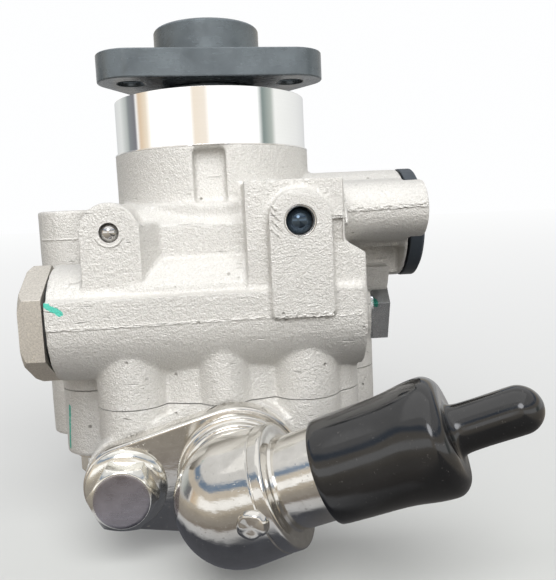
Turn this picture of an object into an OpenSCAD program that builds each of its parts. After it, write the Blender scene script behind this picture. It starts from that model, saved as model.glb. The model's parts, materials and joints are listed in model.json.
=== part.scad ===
// Vane type power steering pump with a cast housing, a pot shaped rear cover, a triangular drive
// flange, a flow control valve across the front and a suction elbow bolted to the cover.
// Z follows the shaft with zero at the pulley seat, X follows the valve gallery, the front is -Y.

/* [Drive flange] */
// Thickness of the triangular plate
flange_t = 6.8; // [5:0.1:9]
// Pitch circle of the three pulley holes
flange_pcd = 46; // [42:0.5:52]
// Radius of the plate corners around the holes
flange_corner_r = 8.2; // [7:0.1:10]
// Diameter of the tapped pulley holes
flange_hole_d = 6.8; // [5:0.1:8.4]
// Diameter of the pulley pilot
hub_d = 27.6; // [24:0.2:30]
// Height of the pulley pilot
hub_h = 8.7; // [6:0.1:12]
// Turn of the flange on the shaft at rest
flange_turn = 5; // [0:1:30]

/* [Spigot and bearing] */
// Diameter of the turned spigot
spigot_d = 50; // [47:0.5:54]
// Length of the turned spigot
spigot_len = 13.3; // [12.8:0.1:16]
// Air gap between spigot and flange plate
flange_gap = 3.2; // [2.4:0.1:5]
// Outer diameter of the ball bearing
bearing_od = 40; // [37:0.5:42]
// Width of the ball bearing
bearing_w = 12; // [10:0.5:12]
// Depth of the bearing below the spigot end
bearing_sink = 2; // [1.9:0.1:2.4]
// Outer diameter of the shaft seal
seal_od = 30; // [28:0.5:32]

/* [Shaft] */
// Diameter of the shaft in bearing, seal and front bush
shaft_d = 17; // [16:0.5:17.5]
// Diameter of the shaft tail in the rear bush
tail_d = 12; // [10:0.5:12.5]

/* [Front housing] */
// Radial step from spigot to cast neck
neck_step = 0.6; // [0.4:0.1:1.2]
// Width of the relief slot down the front of the neck
neck_slot_w = 7.5; // [4:0.5:9]
// Drop from the spigot shoulder to the lug faces
lug_drop = 13.3; // [12.6:0.1:14]
// Drop from the shoulder to the gallery axis
gallery_drop = 40; // [39.5:0.1:41]
// Drop from the shoulder to the parting plane
housing_len = 59; // [58:0.5:63]
// Diameter of the lower body between its lobes
body_d = 72; // [70:0.5:74]
// Radius of the cover bolt lobes
lobe_r = 8.6; // [7.5:0.1:9]
// Diameter of the bore in each mounting lug
lug_bore_d = 8.4; // [6.5:0.1:10]
// Distance of the left lug from the shaft
lug_x = 41; // [40:0.5:45]

/* [Valve gallery] */
// Outer diameter of the gallery casting
gallery_d = 27; // [26:0.5:29]
// Distance of the gallery axis in front of the shaft
gallery_out = 27; // [26.5:0.5:30]
// Reach of the gallery to its plug face
gallery_left = 37; // [36:0.5:42]
// Diameter of the flow control spool
spool_d = 15; // [13:0.5:16]
// Size across flats of the valve plug
valve_hex = 23.6; // [22:0.2:26]
// Height of the valve plug head
valve_hex_h = 5.2; // [4:0.1:8]

/* [Pressure outlet] */
// Reach of the outlet boss from the shaft
outlet_x = 48.6; // [47:0.2:54]
// Diameter of the outlet boss
outlet_boss_d = 28.4; // [26:0.2:29]
// Diameter of the tapped outlet port
outlet_bore_d = 14.5; // [12:0.5:17]
// Diameter of the transit plug rim
plug_rim_d = 28.6; // [26:0.2:29]

/* [Relief valve] */
// Size across flats of the relief valve
relief_hex = 19; // [17:0.5:20]
// Diameter of the relief valve thread
relief_thread_d = 12; // [10:0.5:14]

/* [Pump cartridge] */
// Outer diameter of cam ring and pressure plates
cartridge_od = 51; // [50:0.5:52]
// Diameter of the rotor
rotor_d = 36.4; // [34:0.2:37]
// Lift of the cam track over its small radius
cam_lift = 2; // [1:0.1:2.4]
// Width of the cam ring
cam_w = 14; // [12:0.5:15]
// Thickness of each pressure plate
plate_w = 5.5; // [4.5:0.1:6.5]
// Thickness of a vane
vane_t = 1.8; // [1.2:0.1:2.2]

/* [Rear cover] */
// Height of the lobed rim of the cover
cover_t = 17; // [16.5:0.5:20]
// Diameter of the foot
base_d = 54; // [50:0.5:55]
// Height of the foot below the lobed rim
base_h = 14; // [13:0.5:18]
// Thread diameter of the cover bolts
cover_bolt_d = 6; // [5:0.5:7]

/* [Suction elbow] */
// Thickness of the oblong flange
elbow_plate_t = 5; // [4:0.1:6]
// Diameter of the ball shaped knuckle
elbow_bulb_d = 26; // [25:0.2:28]
// Swing of the outlet above the horizontal
elbow_turn = 21.8; // [0:0.1:40]
// Lean of the outlet away from the pump
elbow_lean = 18; // [10:0.5:40]
// Outer diameter of the tube stub
tube_d = 18; // [16.5:0.1:18.6]
// Length of the tube stub
tube_len = 27; // [20:0.5:30]
// Thread diameter of the elbow bolt
elbow_bolt_d = 8; // [6:0.5:8]

/* [Suction cap] */
// Length of the cap barrel
cap_len = 25; // [22:0.5:32]
// Length of the pull tail
cap_tail = 16; // [10:0.5:24]
// Wall of the cap at its mouth
cap_wall = 0.85; // [0.6:0.05:1.2]

/* [Hidden] */
$fn = 96;
eps = 1;
seat_gap = 0.02;
run_gap = 0.05;
free_gap = 0.3;
head_gap = 1.2;

// levels along the shaft
cavity_land = 2.5;
z_plate_low = -flange_t;
z_spigot_top = z_plate_low - flange_gap;
z_shoulder = z_spigot_top - spigot_len;
z_lug = z_shoulder - lug_drop;
z_gallery = z_shoulder - gallery_drop;
z_split = z_shoulder - housing_len;
z_cover_low = z_split - cover_t;
z_base = z_cover_low - base_h;
z_cavity_top = z_gallery - spool_d / 2 - cavity_land;
z_floor = z_cavity_top - 2 * plate_w - cam_w;
z_cam_top = z_cavity_top - plate_w;
z_cam_low = z_cam_top - cam_w;

// bearing and seal
bearing_top = z_spigot_top - bearing_sink;
bearing_low = bearing_top - bearing_w;
bearing_mid = bearing_top - bearing_w / 2;
race_pitch_r = (bearing_od + shaft_d) / 4;
race_ball_r = (bearing_od - shaft_d) * 0.145;
race_land = (bearing_od - shaft_d) / 4 - race_ball_r * 0.62;
race_count = 8;
clip_t = 1.4;
clip_deep = 1.2;
seal_w = 7;
seal_low = bearing_low - 0.8 - seal_w;
bush_wall = 1.5;
bush_len = 12;
bush_r = shaft_d / 2 + run_gap + bush_wall;
tail_bush_r = tail_d / 2 + run_gap + bush_wall;
tail_bush_len = 8;
passage_r = shaft_d / 2 + 1;

// castings
neck_r = spigot_d / 2 + neck_step;
core_r = 31.5;
lobe_angles = [-45, 45, 135, 195];
lug_r = 9;
lug_web = 18;
lug_web_in = 20;
lug_left = [-lug_x, 10];
lug_rear = [10, 41];
gallery_right = 33;
gallery_bore_end = 18;
gallery_front = gallery_out + gallery_d / 2;
split_span = 3 * body_d / 2;
bolt_depth = 11;
cavity_r = cartridge_od / 2 + 0.2;
ring_r = cavity_r + 2.1;
ring_wire = 1;
groove_gap = 0.05;
bolt_head_r = cover_bolt_d * 1.05;
bolt_hole_r = cover_bolt_d / 2 + free_gap;
bolt_land = 2;
lobe_pitch = max(
  base_d / 2 + bolt_head_r + head_gap,
  ring_r + ring_wire + groove_gap + bolt_hole_r + bolt_land
);

// outlet and relief valve
outlet_y = -4.5;
outlet_z = z_shoulder - 20.6;
outlet_depth = 16;
lead_depth = 8;
lead_r = outlet_bore_d / 2 + 0.6;
plug_len = lead_depth - 0.5;
clamp_y = -26;
clamp_z = z_shoulder - 17.1;
clamp_x = outlet_x + 2.4;
clamp_r = 6.8;
clamp_hole_r = 2.5;
relief_y = 2;
relief_drop = 3.6;
relief_z = z_gallery - relief_drop;
relief_x = 40.2;
relief_len = 11.5;
relief_face = 8;
web_y = relief_y - relief_hex / 2 / cos(30) - 0.7;

// ball plugs
small_ball_r = 2.15;
small_ball_x = -22.6;
small_ball_z = z_shoulder - 19.5;
small_face = 38;
large_ball_r = 3.05;
large_ball_x = 18.7;
large_ball_z = z_shoulder - 18.8;
pad_face = 41.6;
block_face = 39;

// cartridge
rotor_r = rotor_d / 2;
vane_count = 10;
vane_tip = rotor_r + 0.15;
vane_len = 7;
slot_gap = 0.05;
slot_bottom = vane_tip - vane_len - 1.5;
cam_small = vane_tip + 0.3;
spline_r = 7.2;
spline_tooth = 0.6;
spline_count = 16;
dowel_r = 1.5;
dowel_pitch = (cam_small + cartridge_od / 2) / 2;
port_r = cam_small + 0.2;

// flow control valve
spool_r = spool_d / 2 - run_gap;
gallery_bore_r = spool_d / 2;
valve_thread_r = gallery_bore_r + 2.4;
valve_thread_len = 12;
valve_seal_t = 0.9;
spool_len = 24;
spool_nose = 5;
spool_right = gallery_bore_end - 0.1 - spool_nose;
spool_left = spool_right - spool_len;
spool_well = 6;
spring_r = 3.9;
spring_wire = 0.65;
spring_turns = 7;
spring_left = -gallery_left + valve_thread_len;
spring_right = spool_left + spool_well;

// elbow
elbow_face = 37.5;
elbow_x = 2.5;
elbow_drop = 14;
elbow_z = z_split - elbow_drop;
elbow_plate_r = 14.6;
elbow_lobe_r = 9.5;
elbow_bolt_x = -21.8;
elbow_bolt_drop = 1.8;
elbow_bolt_z = elbow_z - elbow_bolt_drop;
elbow_front = elbow_face + elbow_plate_t;
elbow_reach = elbow_front + 14.5;
elbow_shoulder = 11;
elbow_shoulder_r = elbow_bulb_d / 2 - 0.8;
tube_r = tube_d / 2;
tube_bore_r = tube_r - 1.4;
inlet_r = 9.4;
inlet_bore_r = 7;
inlet_len = 7.5;
inlet_in = 20;
elbow_bolt_len = 12;
elbow_ring_wire = 0.8;

// suction cap
cap_mouth = elbow_shoulder + 8.4;
cap_bore_r = tube_r + free_gap;
cap_mouth_r = cap_bore_r + cap_wall;
cap_bulge_r = cap_mouth_r + 1;
cap_tail_r = 4.4;

function polar(r, a) = [r * cos(a), r * sin(a)];

// points of an arc from angle a to angle b
function arc(c, r, a, b, n) = [for (i = [0:n]) c + polar(r, a + (b - a) * i / n)];

// outline round two circles joined by their outer tangents
function joined(p, rp, q, rq) =
  let (v = q - p, l = norm(v), h = atan2(v[1], v[0]), k = acos((rp - rq) / l))
  concat(arc(p, rp, h + k, h + 360 - k, 40), arc(q, rq, h - k, h + k, 40));

// turns the axis of a child from Z to X
module to_x() {
  rotate([0, 90, 0]) children();
}

// turns the axis of a child from Z to the front
module to_front() {
  rotate([90, 0, 0]) children();
}

// puts a child on the axis of the elbow outlet
module on_outlet() {
  translate([elbow_x, -elbow_reach, elbow_z])
    rotate([0, -elbow_turn, 0]) rotate([0, 0, -elbow_lean]) to_x() children();
}

module ring(r_out, r_in, h) {
  difference() {
    cylinder(r = r_out, h = h);
    translate([0, 0, -eps]) cylinder(r = r_in, h = h + 2 * eps);
  }
}

module torus(r, wire) {
  rotate_extrude() translate([r, 0]) circle(r = wire, $fn = 32);
}

module at_lobes() {
  for (a = lobe_angles) translate(polar(lobe_pitch, a)) children();
}

// outline of the lower body, shared by housing and cover
module body_outline() {
  circle(d = body_d);
  at_lobes() circle(r = lobe_r);
  translate([-20.5, -30]) circle(r = 8.5);
  translate([19.5, -30.2]) circle(r = 8.2);
  translate([0.5, -32.4]) circle(r = 6.4);
  translate([33, -3]) circle(r = 8.3);
  translate(lug_left) circle(r = lug_r);
  translate([-lug_x, lug_left[1] - 6]) square([lug_web, 12]);
  translate(lug_rear) circle(r = lug_r);
  translate([lug_rear[0] - 6, lug_web_in]) square([12, lug_rear[1] - lug_web_in]);
}

// arch with a round top, used for the raised pads
module arch(x, z, r, low) {
  translate([x, z]) circle(r = r);
  translate([x - r, low]) square([2 * r, z - low]);
}

// stepped front of the housing between its two pads
module step_profile() {
  polygon([
    [-10, z_shoulder - 14.4], [-28, z_shoulder - 14.4], [-33, z_shoulder - 18.5],
    [-33.2, z_gallery + 14], [-34.4, z_gallery + 13.4], [-38.4, z_gallery + 8.4],
    [-38.6, z_gallery + 4], [-10, z_gallery + 4]
  ]);
}

module housing_casting() {
  translate([0, 0, z_shoulder - eps]) cylinder(d = spigot_d, h = spigot_len + eps);
  difference() {
    translate([0, 0, z_lug - 4]) cylinder(r = neck_r, h = lug_drop + 4);
    translate([-neck_slot_w / 2 - 0.4, 0, 0]) rotate([90, 0, 90]) linear_extrude(neck_slot_w) polygon([
      [-neck_r - 1, z_lug - 4.2], [-neck_r + 1.4, z_lug - 4.2],
      [-neck_r + 3.6, z_shoulder - 0.2], [-neck_r - 1, z_shoulder - 0.2]
    ]);
  }
  translate([0, 0, z_split]) cylinder(r = core_r, h = z_lug - 0.4 - z_split);
  translate([0, 0, z_split]) linear_extrude(z_gallery - 5.5 - z_split) body_outline();
  lug_columns();
  gallery_casting();
  front_pads();
  outlet_casting();
  translate([10, relief_y, relief_z]) to_x() cylinder(r = relief_hex / 2 + 3.1, h = relief_x - 10);
}

module lug_columns() {
  translate([0, 0, z_split]) linear_extrude(z_lug - z_split) {
    translate(lug_left) circle(r = lug_r);
    translate([-lug_x, lug_left[1] - 5.5]) square([lug_web, 11]);
    translate(lug_rear) circle(r = lug_r);
    translate([lug_rear[0] - 5.5, lug_web_in]) square([11, lug_rear[1] - lug_web_in]);
  }
}

module gallery_casting() {
  translate([-gallery_left, -gallery_out, z_gallery])
    to_x() cylinder(d = gallery_d, h = gallery_left + gallery_right);
  translate([-gallery_left, -gallery_front, z_gallery]) cube([gallery_left + gallery_right - 0.6, gallery_d / 2, 6.5]);
  translate([-gallery_left + 4, -gallery_out, z_gallery - 9]) cube([gallery_left + gallery_right - 6, 20, 18]);
}

module front_pads() {
  translate([0, -12, 0]) to_front() linear_extrude(small_face - 12)
    arch(small_ball_x, small_ball_z, 6.6, z_gallery + 4);
  translate([-19, 0, 0]) rotate([90, 0, 90]) linear_extrude(28) step_profile();
  translate([6.9, -block_face, z_gallery + 0.5]) cube([22, block_face - 6, gallery_drop - 10.1]);
  translate([27, -block_face, z_gallery + 0.5]) cube([gallery_right - 26.6, 18, 13.2]);
  translate([0, -20, 0]) to_front() linear_extrude(pad_face - 20)
    arch(large_ball_x, large_ball_z, 7, z_gallery + 0.7);
}

module outlet_casting() {
  translate([12, outlet_y, outlet_z]) to_x() cylinder(d = outlet_boss_d, h = outlet_x - 12);
  translate([26, clamp_y, clamp_z]) to_x() cylinder(r = clamp_r, h = clamp_x - 26);
  translate([26, 0, 0]) to_x() linear_extrude(outlet_x - 27) hull() {
    translate([-clamp_z, clamp_y]) circle(r = clamp_r - 0.4);
    translate([-outlet_z - 2.6, outlet_y]) circle(r = clamp_r + 3);
  }
  translate([0, web_y, outlet_z]) to_front() linear_extrude(9.5) polygon([
    [26, 0], [outlet_x - 1.6, -6], [outlet_x - 1.6, -12.6], [outlet_x - 6, -17.8], [26, -17.8]
  ]);
}

module front_housing() {
  color("Gainsboro") difference() {
    housing_casting();
    shaft_bores();
    valve_bores();
    port_bores();
    beyond_split(-1);
    elbow_seat();
    translate([relief_x, relief_y, relief_z]) to_x() cylinder(r = relief_hex / 2 / cos(30) + 0.1, h = relief_face);
    for (p = [lug_left, lug_rear])
      translate([p[0], p[1], z_split - eps]) cylinder(d = lug_bore_d, h = z_lug - z_split + 2 * eps);
    translate([0, 0, z_split - eps]) at_lobes() cylinder(r = cover_bolt_d / 2 + seat_gap, h = bolt_depth + eps);
  }
}

module shaft_bores() {
  translate([0, 0, bearing_low]) cylinder(r = bearing_od / 2 + seat_gap, h = -bearing_low);
  translate([0, 0, bearing_top]) cylinder(r = bearing_od / 2 + clip_deep, h = clip_t + 0.1);
  translate([0, 0, seal_low - 0.4]) cylinder(r = seal_od / 2 + seat_gap, h = bearing_low - seal_low + eps);
  translate([0, 0, z_split]) cylinder(r = passage_r, h = -z_split + seal_low);
  translate([0, 0, z_cavity_top - eps]) cylinder(r = bush_r + seat_gap, h = bush_len + eps);
  translate([0, 0, z_split - eps]) cylinder(r = cavity_r, h = z_cavity_top - z_split + eps);
}

module valve_bores() {
  translate([-gallery_left - eps, -gallery_out, z_gallery]) to_x() {
    cylinder(r = gallery_bore_r, h = gallery_left + eps + gallery_bore_end);
    cylinder(r = valve_thread_r + seat_gap, h = valve_thread_len + eps + 0.5);
  }
  translate([relief_x + eps, relief_y, relief_z]) rotate([0, -90, 0]) {
    cylinder(r = relief_thread_d / 2 + seat_gap, h = relief_len + eps + 0.3);
  }
}

module port_bores() {
  translate([outlet_x + eps, outlet_y, outlet_z]) rotate([0, -90, 0]) {
    cylinder(r = lead_r, h = lead_depth + eps);
    cylinder(d = outlet_bore_d, h = outlet_depth + eps);
    cylinder(r = 4, h = outlet_x - 16 + eps);
  }
  translate([clamp_x + eps, clamp_y, clamp_z]) rotate([0, -90, 0]) cylinder(r = clamp_hole_r, h = 14 + eps);
  translate([small_ball_x, -small_face - eps, small_ball_z]) rotate([-90, 0, 0]) {
    cylinder(r = small_ball_r + seat_gap, h = 6 + eps);
    cylinder(r = 1.4, h = 16 + eps);
  }
  translate([large_ball_x, -pad_face - eps, large_ball_z]) rotate([-90, 0, 0]) {
    cylinder(r = large_ball_r + 0.5, h = 0.8 + eps);
    cylinder(r = large_ball_r + seat_gap, h = 8 + eps);
    cylinder(r = 2.3, h = pad_face + outlet_y + eps);
  }
}

// everything on one side of the parting plane
module beyond_split(side) {
  translate([-split_span, -split_span, side > 0 ? z_split : z_split - split_span])
    cube([2 * split_span, 2 * split_span, split_span]);
}

module cover_casting() {
  translate([0, 0, z_cover_low]) linear_extrude(cover_t) body_outline();
  translate([0, 0, z_base]) cylinder(d = base_d, h = base_h + eps);
  translate([0, -26, 0]) to_front() linear_extrude(elbow_face - 26) elbow_outline(0.6);
  translate([0, -14, 0]) to_front() linear_extrude(elbow_face - 15) translate([elbow_x, elbow_z])
    circle(r = elbow_plate_r - 0.4);
}

module elbow_outline(grow) {
  polygon(joined(
    [elbow_x, elbow_z], elbow_plate_r + grow,
    [elbow_bolt_x, elbow_bolt_z], elbow_lobe_r + grow
  ));
}

// machined seat of the elbow flange
module elbow_seat() {
  translate([0, -elbow_face, 0]) to_front() linear_extrude(elbow_plate_t) elbow_outline(free_gap);
}

module rear_cover() {
  color("LightGray") difference() {
    cover_casting();
    beyond_split(1);
    elbow_seat();
    translate([0, 0, z_floor]) cylinder(r = cavity_r, h = z_split - z_floor + eps);
    translate([0, 0, z_floor - tail_bush_len - 0.8]) cylinder(r = tail_bush_r + seat_gap, h = tail_bush_len + 2);
    translate([0, 0, z_split - 2 * ring_wire - groove_gap])
      ring(ring_r + ring_wire + groove_gap, ring_r - ring_wire - groove_gap, 2 * ring_wire + eps);
    translate([0, 0, z_floor - 2 * ring_wire - groove_gap])
      ring(17 + ring_wire + groove_gap, 17 - ring_wire - groove_gap, 2 * ring_wire + eps);
    translate([0, 0, z_cover_low - eps]) at_lobes() cylinder(r = bolt_hole_r, h = cover_t + 2 * eps);
    for (p = [lug_left, lug_rear])
      translate([p[0], p[1], z_cover_low - eps]) cylinder(d = lug_bore_d + 1.6, h = cover_t + 2 * eps);
    translate([elbow_x, -inlet_in, elbow_z]) to_front() cylinder(r = inlet_r + 0.1, h = elbow_face - inlet_in + eps);
    translate([elbow_bolt_x, -elbow_face + elbow_bolt_len + 1, elbow_bolt_z])
      to_front() cylinder(r = elbow_bolt_d / 2 + seat_gap, h = elbow_bolt_len + 1 + eps);
  }
}

module cover_seal() {
  color("DimGray") translate([0, 0, z_split - ring_wire - groove_gap / 2]) torus(ring_r, ring_wire);
}

module cover_bolts() {
  color("Silver") at_lobes() {
    translate([0, 0, z_cover_low]) cylinder(r = cover_bolt_d / 2, h = cover_t + bolt_depth - 1);
    translate([0, 0, z_cover_low - 1.2]) cylinder(r = bolt_head_r, h = 1.2);
    translate([0, 0, z_cover_low - cover_bolt_d]) cylinder(r = cover_bolt_d * 0.96, h = cover_bolt_d - 1.2, $fn = 6);
  }
}

// toothed section of shaft and rotor
module spline_outline(grow) {
  polygon([
    for (i = [0:spline_count - 1])
      for (k = [0:3])
        polar(spline_r + grow + (k == 1 || k == 2 ? spline_tooth : 0), (i + k / 4) * 360 / spline_count)
  ]);
}

module drive_shaft() {
  color("SlateGray") {
    translate([0, 0, z_cam_top - run_gap]) cylinder(d = shaft_d, h = hub_h - 0.6 - z_cam_top + run_gap);
    translate([0, 0, z_cam_low + run_gap]) linear_extrude(cam_w - 1.5 * run_gap) spline_outline(0);
    difference() {
      translate([0, 0, z_floor - tail_bush_len]) cylinder(d = tail_d, h = z_cam_low - z_floor + tail_bush_len + 0.2);
      translate([0, 0, z_cam_low - 1.5]) ring(tail_d, tail_d / 2 - 0.9, 1.2);
    }
  }
}

module drive_flange() {
  hole = flange_pcd / 2;
  color("DarkSlateGray") rotate([0, 0, flange_turn]) difference() {
    union() {
      translate([0, 0, z_plate_low]) linear_extrude(flange_t)
        polygon([for (a = [-150, -30, 90]) each arc(polar(hole, a), flange_corner_r, a - 60, a + 60, 24)]);
      translate([0, 0, -eps]) cylinder(d = hub_d, h = hub_h + eps);
      translate([0, 0, bearing_top]) cylinder(r = race_pitch_r - race_ball_r + 1.4, h = -bearing_top - 1);
    }
    translate([0, 0, bearing_top - eps]) cylinder(r = shaft_d / 2 + seat_gap, h = hub_h - bearing_top + 2 * eps);
    for (a = [-150, -30, 90])
      translate(concat(polar(hole, a), z_plate_low - eps)) cylinder(d = flange_hole_d, h = flange_t + 2 * eps);
  }
}

module shaft_seal() {
  color("Black") translate([0, 0, seal_low]) rotate_extrude() polygon([
    [seal_od / 2, 0], [seal_od / 2, seal_w], [seal_od / 2 - 1.6, seal_w], [seal_od / 2 - 1.6, 2],
    [shaft_d / 2 + 2.4, 2], [shaft_d / 2 + 1.4, 5], [shaft_d / 2 + run_gap, 4.4], [shaft_d / 2 + 0.8, 2.6],
    [shaft_d / 2 + 1.2, 0]
  ]);
}

module race_groove() {
  translate([race_pitch_r, 0]) circle(r = race_ball_r + run_gap, $fn = 48);
}

module bearing_outer_ring() {
  color("Silver") translate([0, 0, bearing_mid]) rotate_extrude() difference() {
    translate([bearing_od / 2 - race_land, -bearing_w / 2]) square([race_land, bearing_w]);
    race_groove();
  }
}

module bearing_inner_ring() {
  color("Silver") translate([0, 0, bearing_mid]) rotate_extrude() difference() {
    translate([shaft_d / 2 + seat_gap, -bearing_w / 2]) square([race_land - seat_gap, bearing_w]);
    race_groove();
  }
}

module bearing_balls() {
  color("LightSteelBlue") translate([0, 0, bearing_mid]) for (i = [0:race_count - 1])
    translate(polar(race_pitch_r, i * 360 / race_count)) sphere(r = race_ball_r, $fn = 48);
}

module bearing_cage() {
  color("DarkKhaki") translate([0, 0, bearing_mid]) difference() {
    translate([0, 0, -race_ball_r * 1.3]) ring(race_pitch_r + 0.9, race_pitch_r - 0.9, race_ball_r * 2.6);
    for (i = [0:race_count - 1]) rotate([0, 0, i * 360 / race_count])
      translate([race_pitch_r - 4, 0, 0]) to_x() cylinder(r = race_ball_r + run_gap, h = 8);
  }
}

module bearing_circlip() {
  color("DarkGray") translate([0, 0, bearing_top]) difference() {
    ring(bearing_od / 2 + clip_deep - 0.1, bearing_od / 2 - 1.8, clip_t);
    translate([-3, 0, -eps]) cube([6, bearing_od, clip_t + 2 * eps]);
  }
}

module front_bush() {
  color("Peru") translate([0, 0, z_cavity_top + 0.2]) ring(bush_r, shaft_d / 2 + run_gap, bush_len - 0.2);
}

module rear_bush() {
  color("Peru") translate([0, 0, z_floor - tail_bush_len]) ring(tail_bush_r, tail_d / 2 + run_gap, tail_bush_len - 0.2);
}

module rotor() {
  color("SteelBlue") translate([0, 0, z_cam_low + run_gap]) difference() {
    cylinder(r = rotor_r, h = cam_w - 2 * run_gap);
    translate([0, 0, -eps]) linear_extrude(cam_w + 2 * eps) spline_outline(seat_gap);
    for (i = [0:vane_count - 1]) rotate([0, 0, i * 360 / vane_count])
      translate([slot_bottom, -vane_t / 2 - slot_gap, -eps]) cube([rotor_r, vane_t + 2 * slot_gap, cam_w + 2 * eps]);
  }
}

module rotor_circlip() {
  color("DarkGray") translate([0, 0, z_cam_low - 1.4]) difference() {
    ring(tail_d / 2 + 1.8, tail_d / 2 - 0.8, 1);
    translate([-2, 0, -eps]) cube([4, tail_d, 1 + 2 * eps]);
  }
}

module vane(i) {
  color("LightSlateGray") rotate([0, 0, i * 360 / vane_count])
    translate([vane_tip - vane_len, -vane_t / 2, z_cam_low + run_gap]) cube([vane_len, vane_t, cam_w - 2 * run_gap]);
}

module vane_01() { vane(0); }
module vane_02() { vane(1); }
module vane_03() { vane(2); }
module vane_04() { vane(3); }
module vane_05() { vane(4); }
module vane_06() { vane(5); }
module vane_07() { vane(6); }
module vane_08() { vane(7); }
module vane_09() { vane(8); }
module vane_10() { vane(9); }

module dowel_holes(h) {
  for (a = [90, 270]) translate(concat(polar(dowel_pitch, a), -eps)) cylinder(r = dowel_r + run_gap, h = h + 2 * eps, $fn = 32);
}

module cam_ring() {
  color("CadetBlue") translate([0, 0, z_cam_low]) difference() {
    cylinder(d = cartridge_od, h = cam_w);
    translate([0, 0, -eps]) linear_extrude(cam_w + 2 * eps)
      polygon([for (a = [0:4:356]) polar(cam_small + cam_lift * (1 + cos(2 * a)) / 2, a)]);
    dowel_holes(cam_w);
  }
}

// plate with two pairs of kidney ports
module pressure_plate(bore) {
  difference() {
    ring(cartridge_od / 2, bore, plate_w);
    dowel_holes(plate_w);
    for (a = [20, 115, 200, 295]) rotate([0, 0, a]) translate([0, 0, -eps])
      rotate_extrude(angle = 45) translate([port_r - 4, 0]) square([4, plate_w + 2 * eps]);
  }
}

module front_pressure_plate() {
  color("DarkSeaGreen") translate([0, 0, z_cam_top]) pressure_plate(shaft_d / 2 + free_gap);
}

module rear_pressure_plate() {
  color("DarkSeaGreen") translate([0, 0, z_floor]) pressure_plate(tail_d / 2 + 2.4);
}

module rear_plate_seal() {
  color("DimGray") translate([0, 0, z_floor - ring_wire - groove_gap / 2]) torus(17, ring_wire);
}

module dowel_pins() {
  color("Silver") for (a = [90, 270])
    translate(concat(polar(dowel_pitch, a), z_floor + 0.5)) cylinder(r = dowel_r, h = 2 * plate_w + cam_w - 1, $fn = 32);
}

module control_spool() {
  color("LightSteelBlue") translate([spool_left, -gallery_out, z_gallery]) to_x() difference() {
    union() {
      cylinder(r = spool_r, h = spool_len);
      cylinder(r = 4, h = spool_len + spool_nose);
    }
    translate([0, 0, -eps]) cylinder(r = spring_r + spring_wire + 0.4, h = spool_well + eps);
    translate([0, 0, 9]) ring(spool_r + eps, spool_r - 1.8, 4);
    translate([0, 0, 17]) ring(spool_r + eps, spool_r - 1.8, 3);
  }
}

// coil as one swept tube
module control_spring() {
  rings = spring_turns * 16;
  sides = 8;
  pitch = (spring_right - spring_left - 2 * spring_wire) / rings;
  pts = [
    for (i = [0:rings]) for (k = [0:sides - 1])
      let (r = spring_r + spring_wire * cos(k * 360 / sides), a = i * 22.5)
      [spring_left + spring_wire + i * pitch + spring_wire * sin(k * 360 / sides), r * cos(a), r * sin(a)]
  ];
  walls = [
    for (i = [0:rings - 1]) for (k = [0:sides - 1])
      [i * sides + k, i * sides + (k + 1) % sides, (i + 1) * sides + (k + 1) % sides, (i + 1) * sides + k]
  ];
  ends = [[for (k = [0:sides - 1]) sides - 1 - k], [for (k = [0:sides - 1]) rings * sides + k]];
  color("SlateBlue") translate([0, -gallery_out, z_gallery]) polyhedron(pts, concat(ends, walls));
}

module valve_plug() {
  head = gallery_left + valve_seal_t;
  color("Tan") {
    translate([-head - eps, -gallery_out, z_gallery])
      to_x() cylinder(r = valve_thread_r, h = valve_thread_len + valve_seal_t + eps);
    translate([-head - valve_hex_h, -gallery_out, z_gallery]) to_x() intersection() {
      cylinder(r = valve_hex / 2 / cos(30), h = valve_hex_h, $fn = 6);
      cylinder(r1 = valve_hex / 2 + 0.7, r2 = valve_hex / 2 + 8.7, h = 8);
    }
  }
}

module valve_plug_seal() {
  color("Black") translate([-gallery_left - valve_seal_t, -gallery_out, z_gallery])
    to_x() ring(valve_hex / 2 - 0.4, valve_thread_r + seat_gap, valve_seal_t);
}

module relief_valve() {
  color("SlateGray") translate([relief_x - relief_len, relief_y, relief_z]) to_x() {
    cylinder(r = relief_thread_d / 2, h = relief_len + eps);
    translate([0, 0, relief_len]) cylinder(r = relief_hex / 2 + 0.4, h = 1.1);
    translate([0, 0, relief_len + 1]) rotate([0, 0, 21.6]) cylinder(r = relief_hex / 2 / cos(30), h = 4.4, $fn = 6);
  }
}

module small_ball_plug() {
  color("White") translate([small_ball_x, -small_face + 1.8, small_ball_z]) sphere(r = small_ball_r, $fn = 64);
}

module large_ball_plug() {
  color("MidnightBlue") translate([large_ball_x, -pad_face + large_ball_r + 0.5, large_ball_z])
    sphere(r = large_ball_r, $fn = 64);
}

module outlet_plug() {
  color("MidnightBlue") translate([outlet_x, outlet_y, outlet_z]) to_x() difference() {
    union() {
      translate([0, 0, 0.4]) cylinder(d = plug_rim_d, h = 3.4);
      translate([0, 0, 3]) cylinder(d = plug_rim_d - 2, h = 1.4);
      translate([0, 0, -plug_len]) cylinder(r = lead_r - free_gap, h = plug_len + 1);
    }
    translate([0, 0, -plug_len - eps]) cylinder(r = lead_r - 2, h = plug_len + eps);
  }
}

// half section of the outlet leg with its spherical knuckle
module leg_section() {
  difference() {
    union() {
      intersection() {
        circle(d = elbow_bulb_d);
        translate([0, -elbow_bulb_d]) square([elbow_bulb_d, elbow_bulb_d + 2]);
      }
      polygon([
        [0, 0], [elbow_bulb_d / 2 - 0.05, 0.6], [elbow_shoulder_r, elbow_shoulder],
        [tube_r, elbow_shoulder], [tube_r, elbow_shoulder + tube_len], [0, elbow_shoulder + tube_len]
      ]);
    }
    translate([0, 0]) square([tube_bore_r, elbow_shoulder + tube_len + eps]);
    intersection() {
      circle(r = tube_bore_r + 0.6);
      translate([0, -elbow_bulb_d]) square([elbow_bulb_d, elbow_bulb_d + 3]);
    }
  }
}

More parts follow.
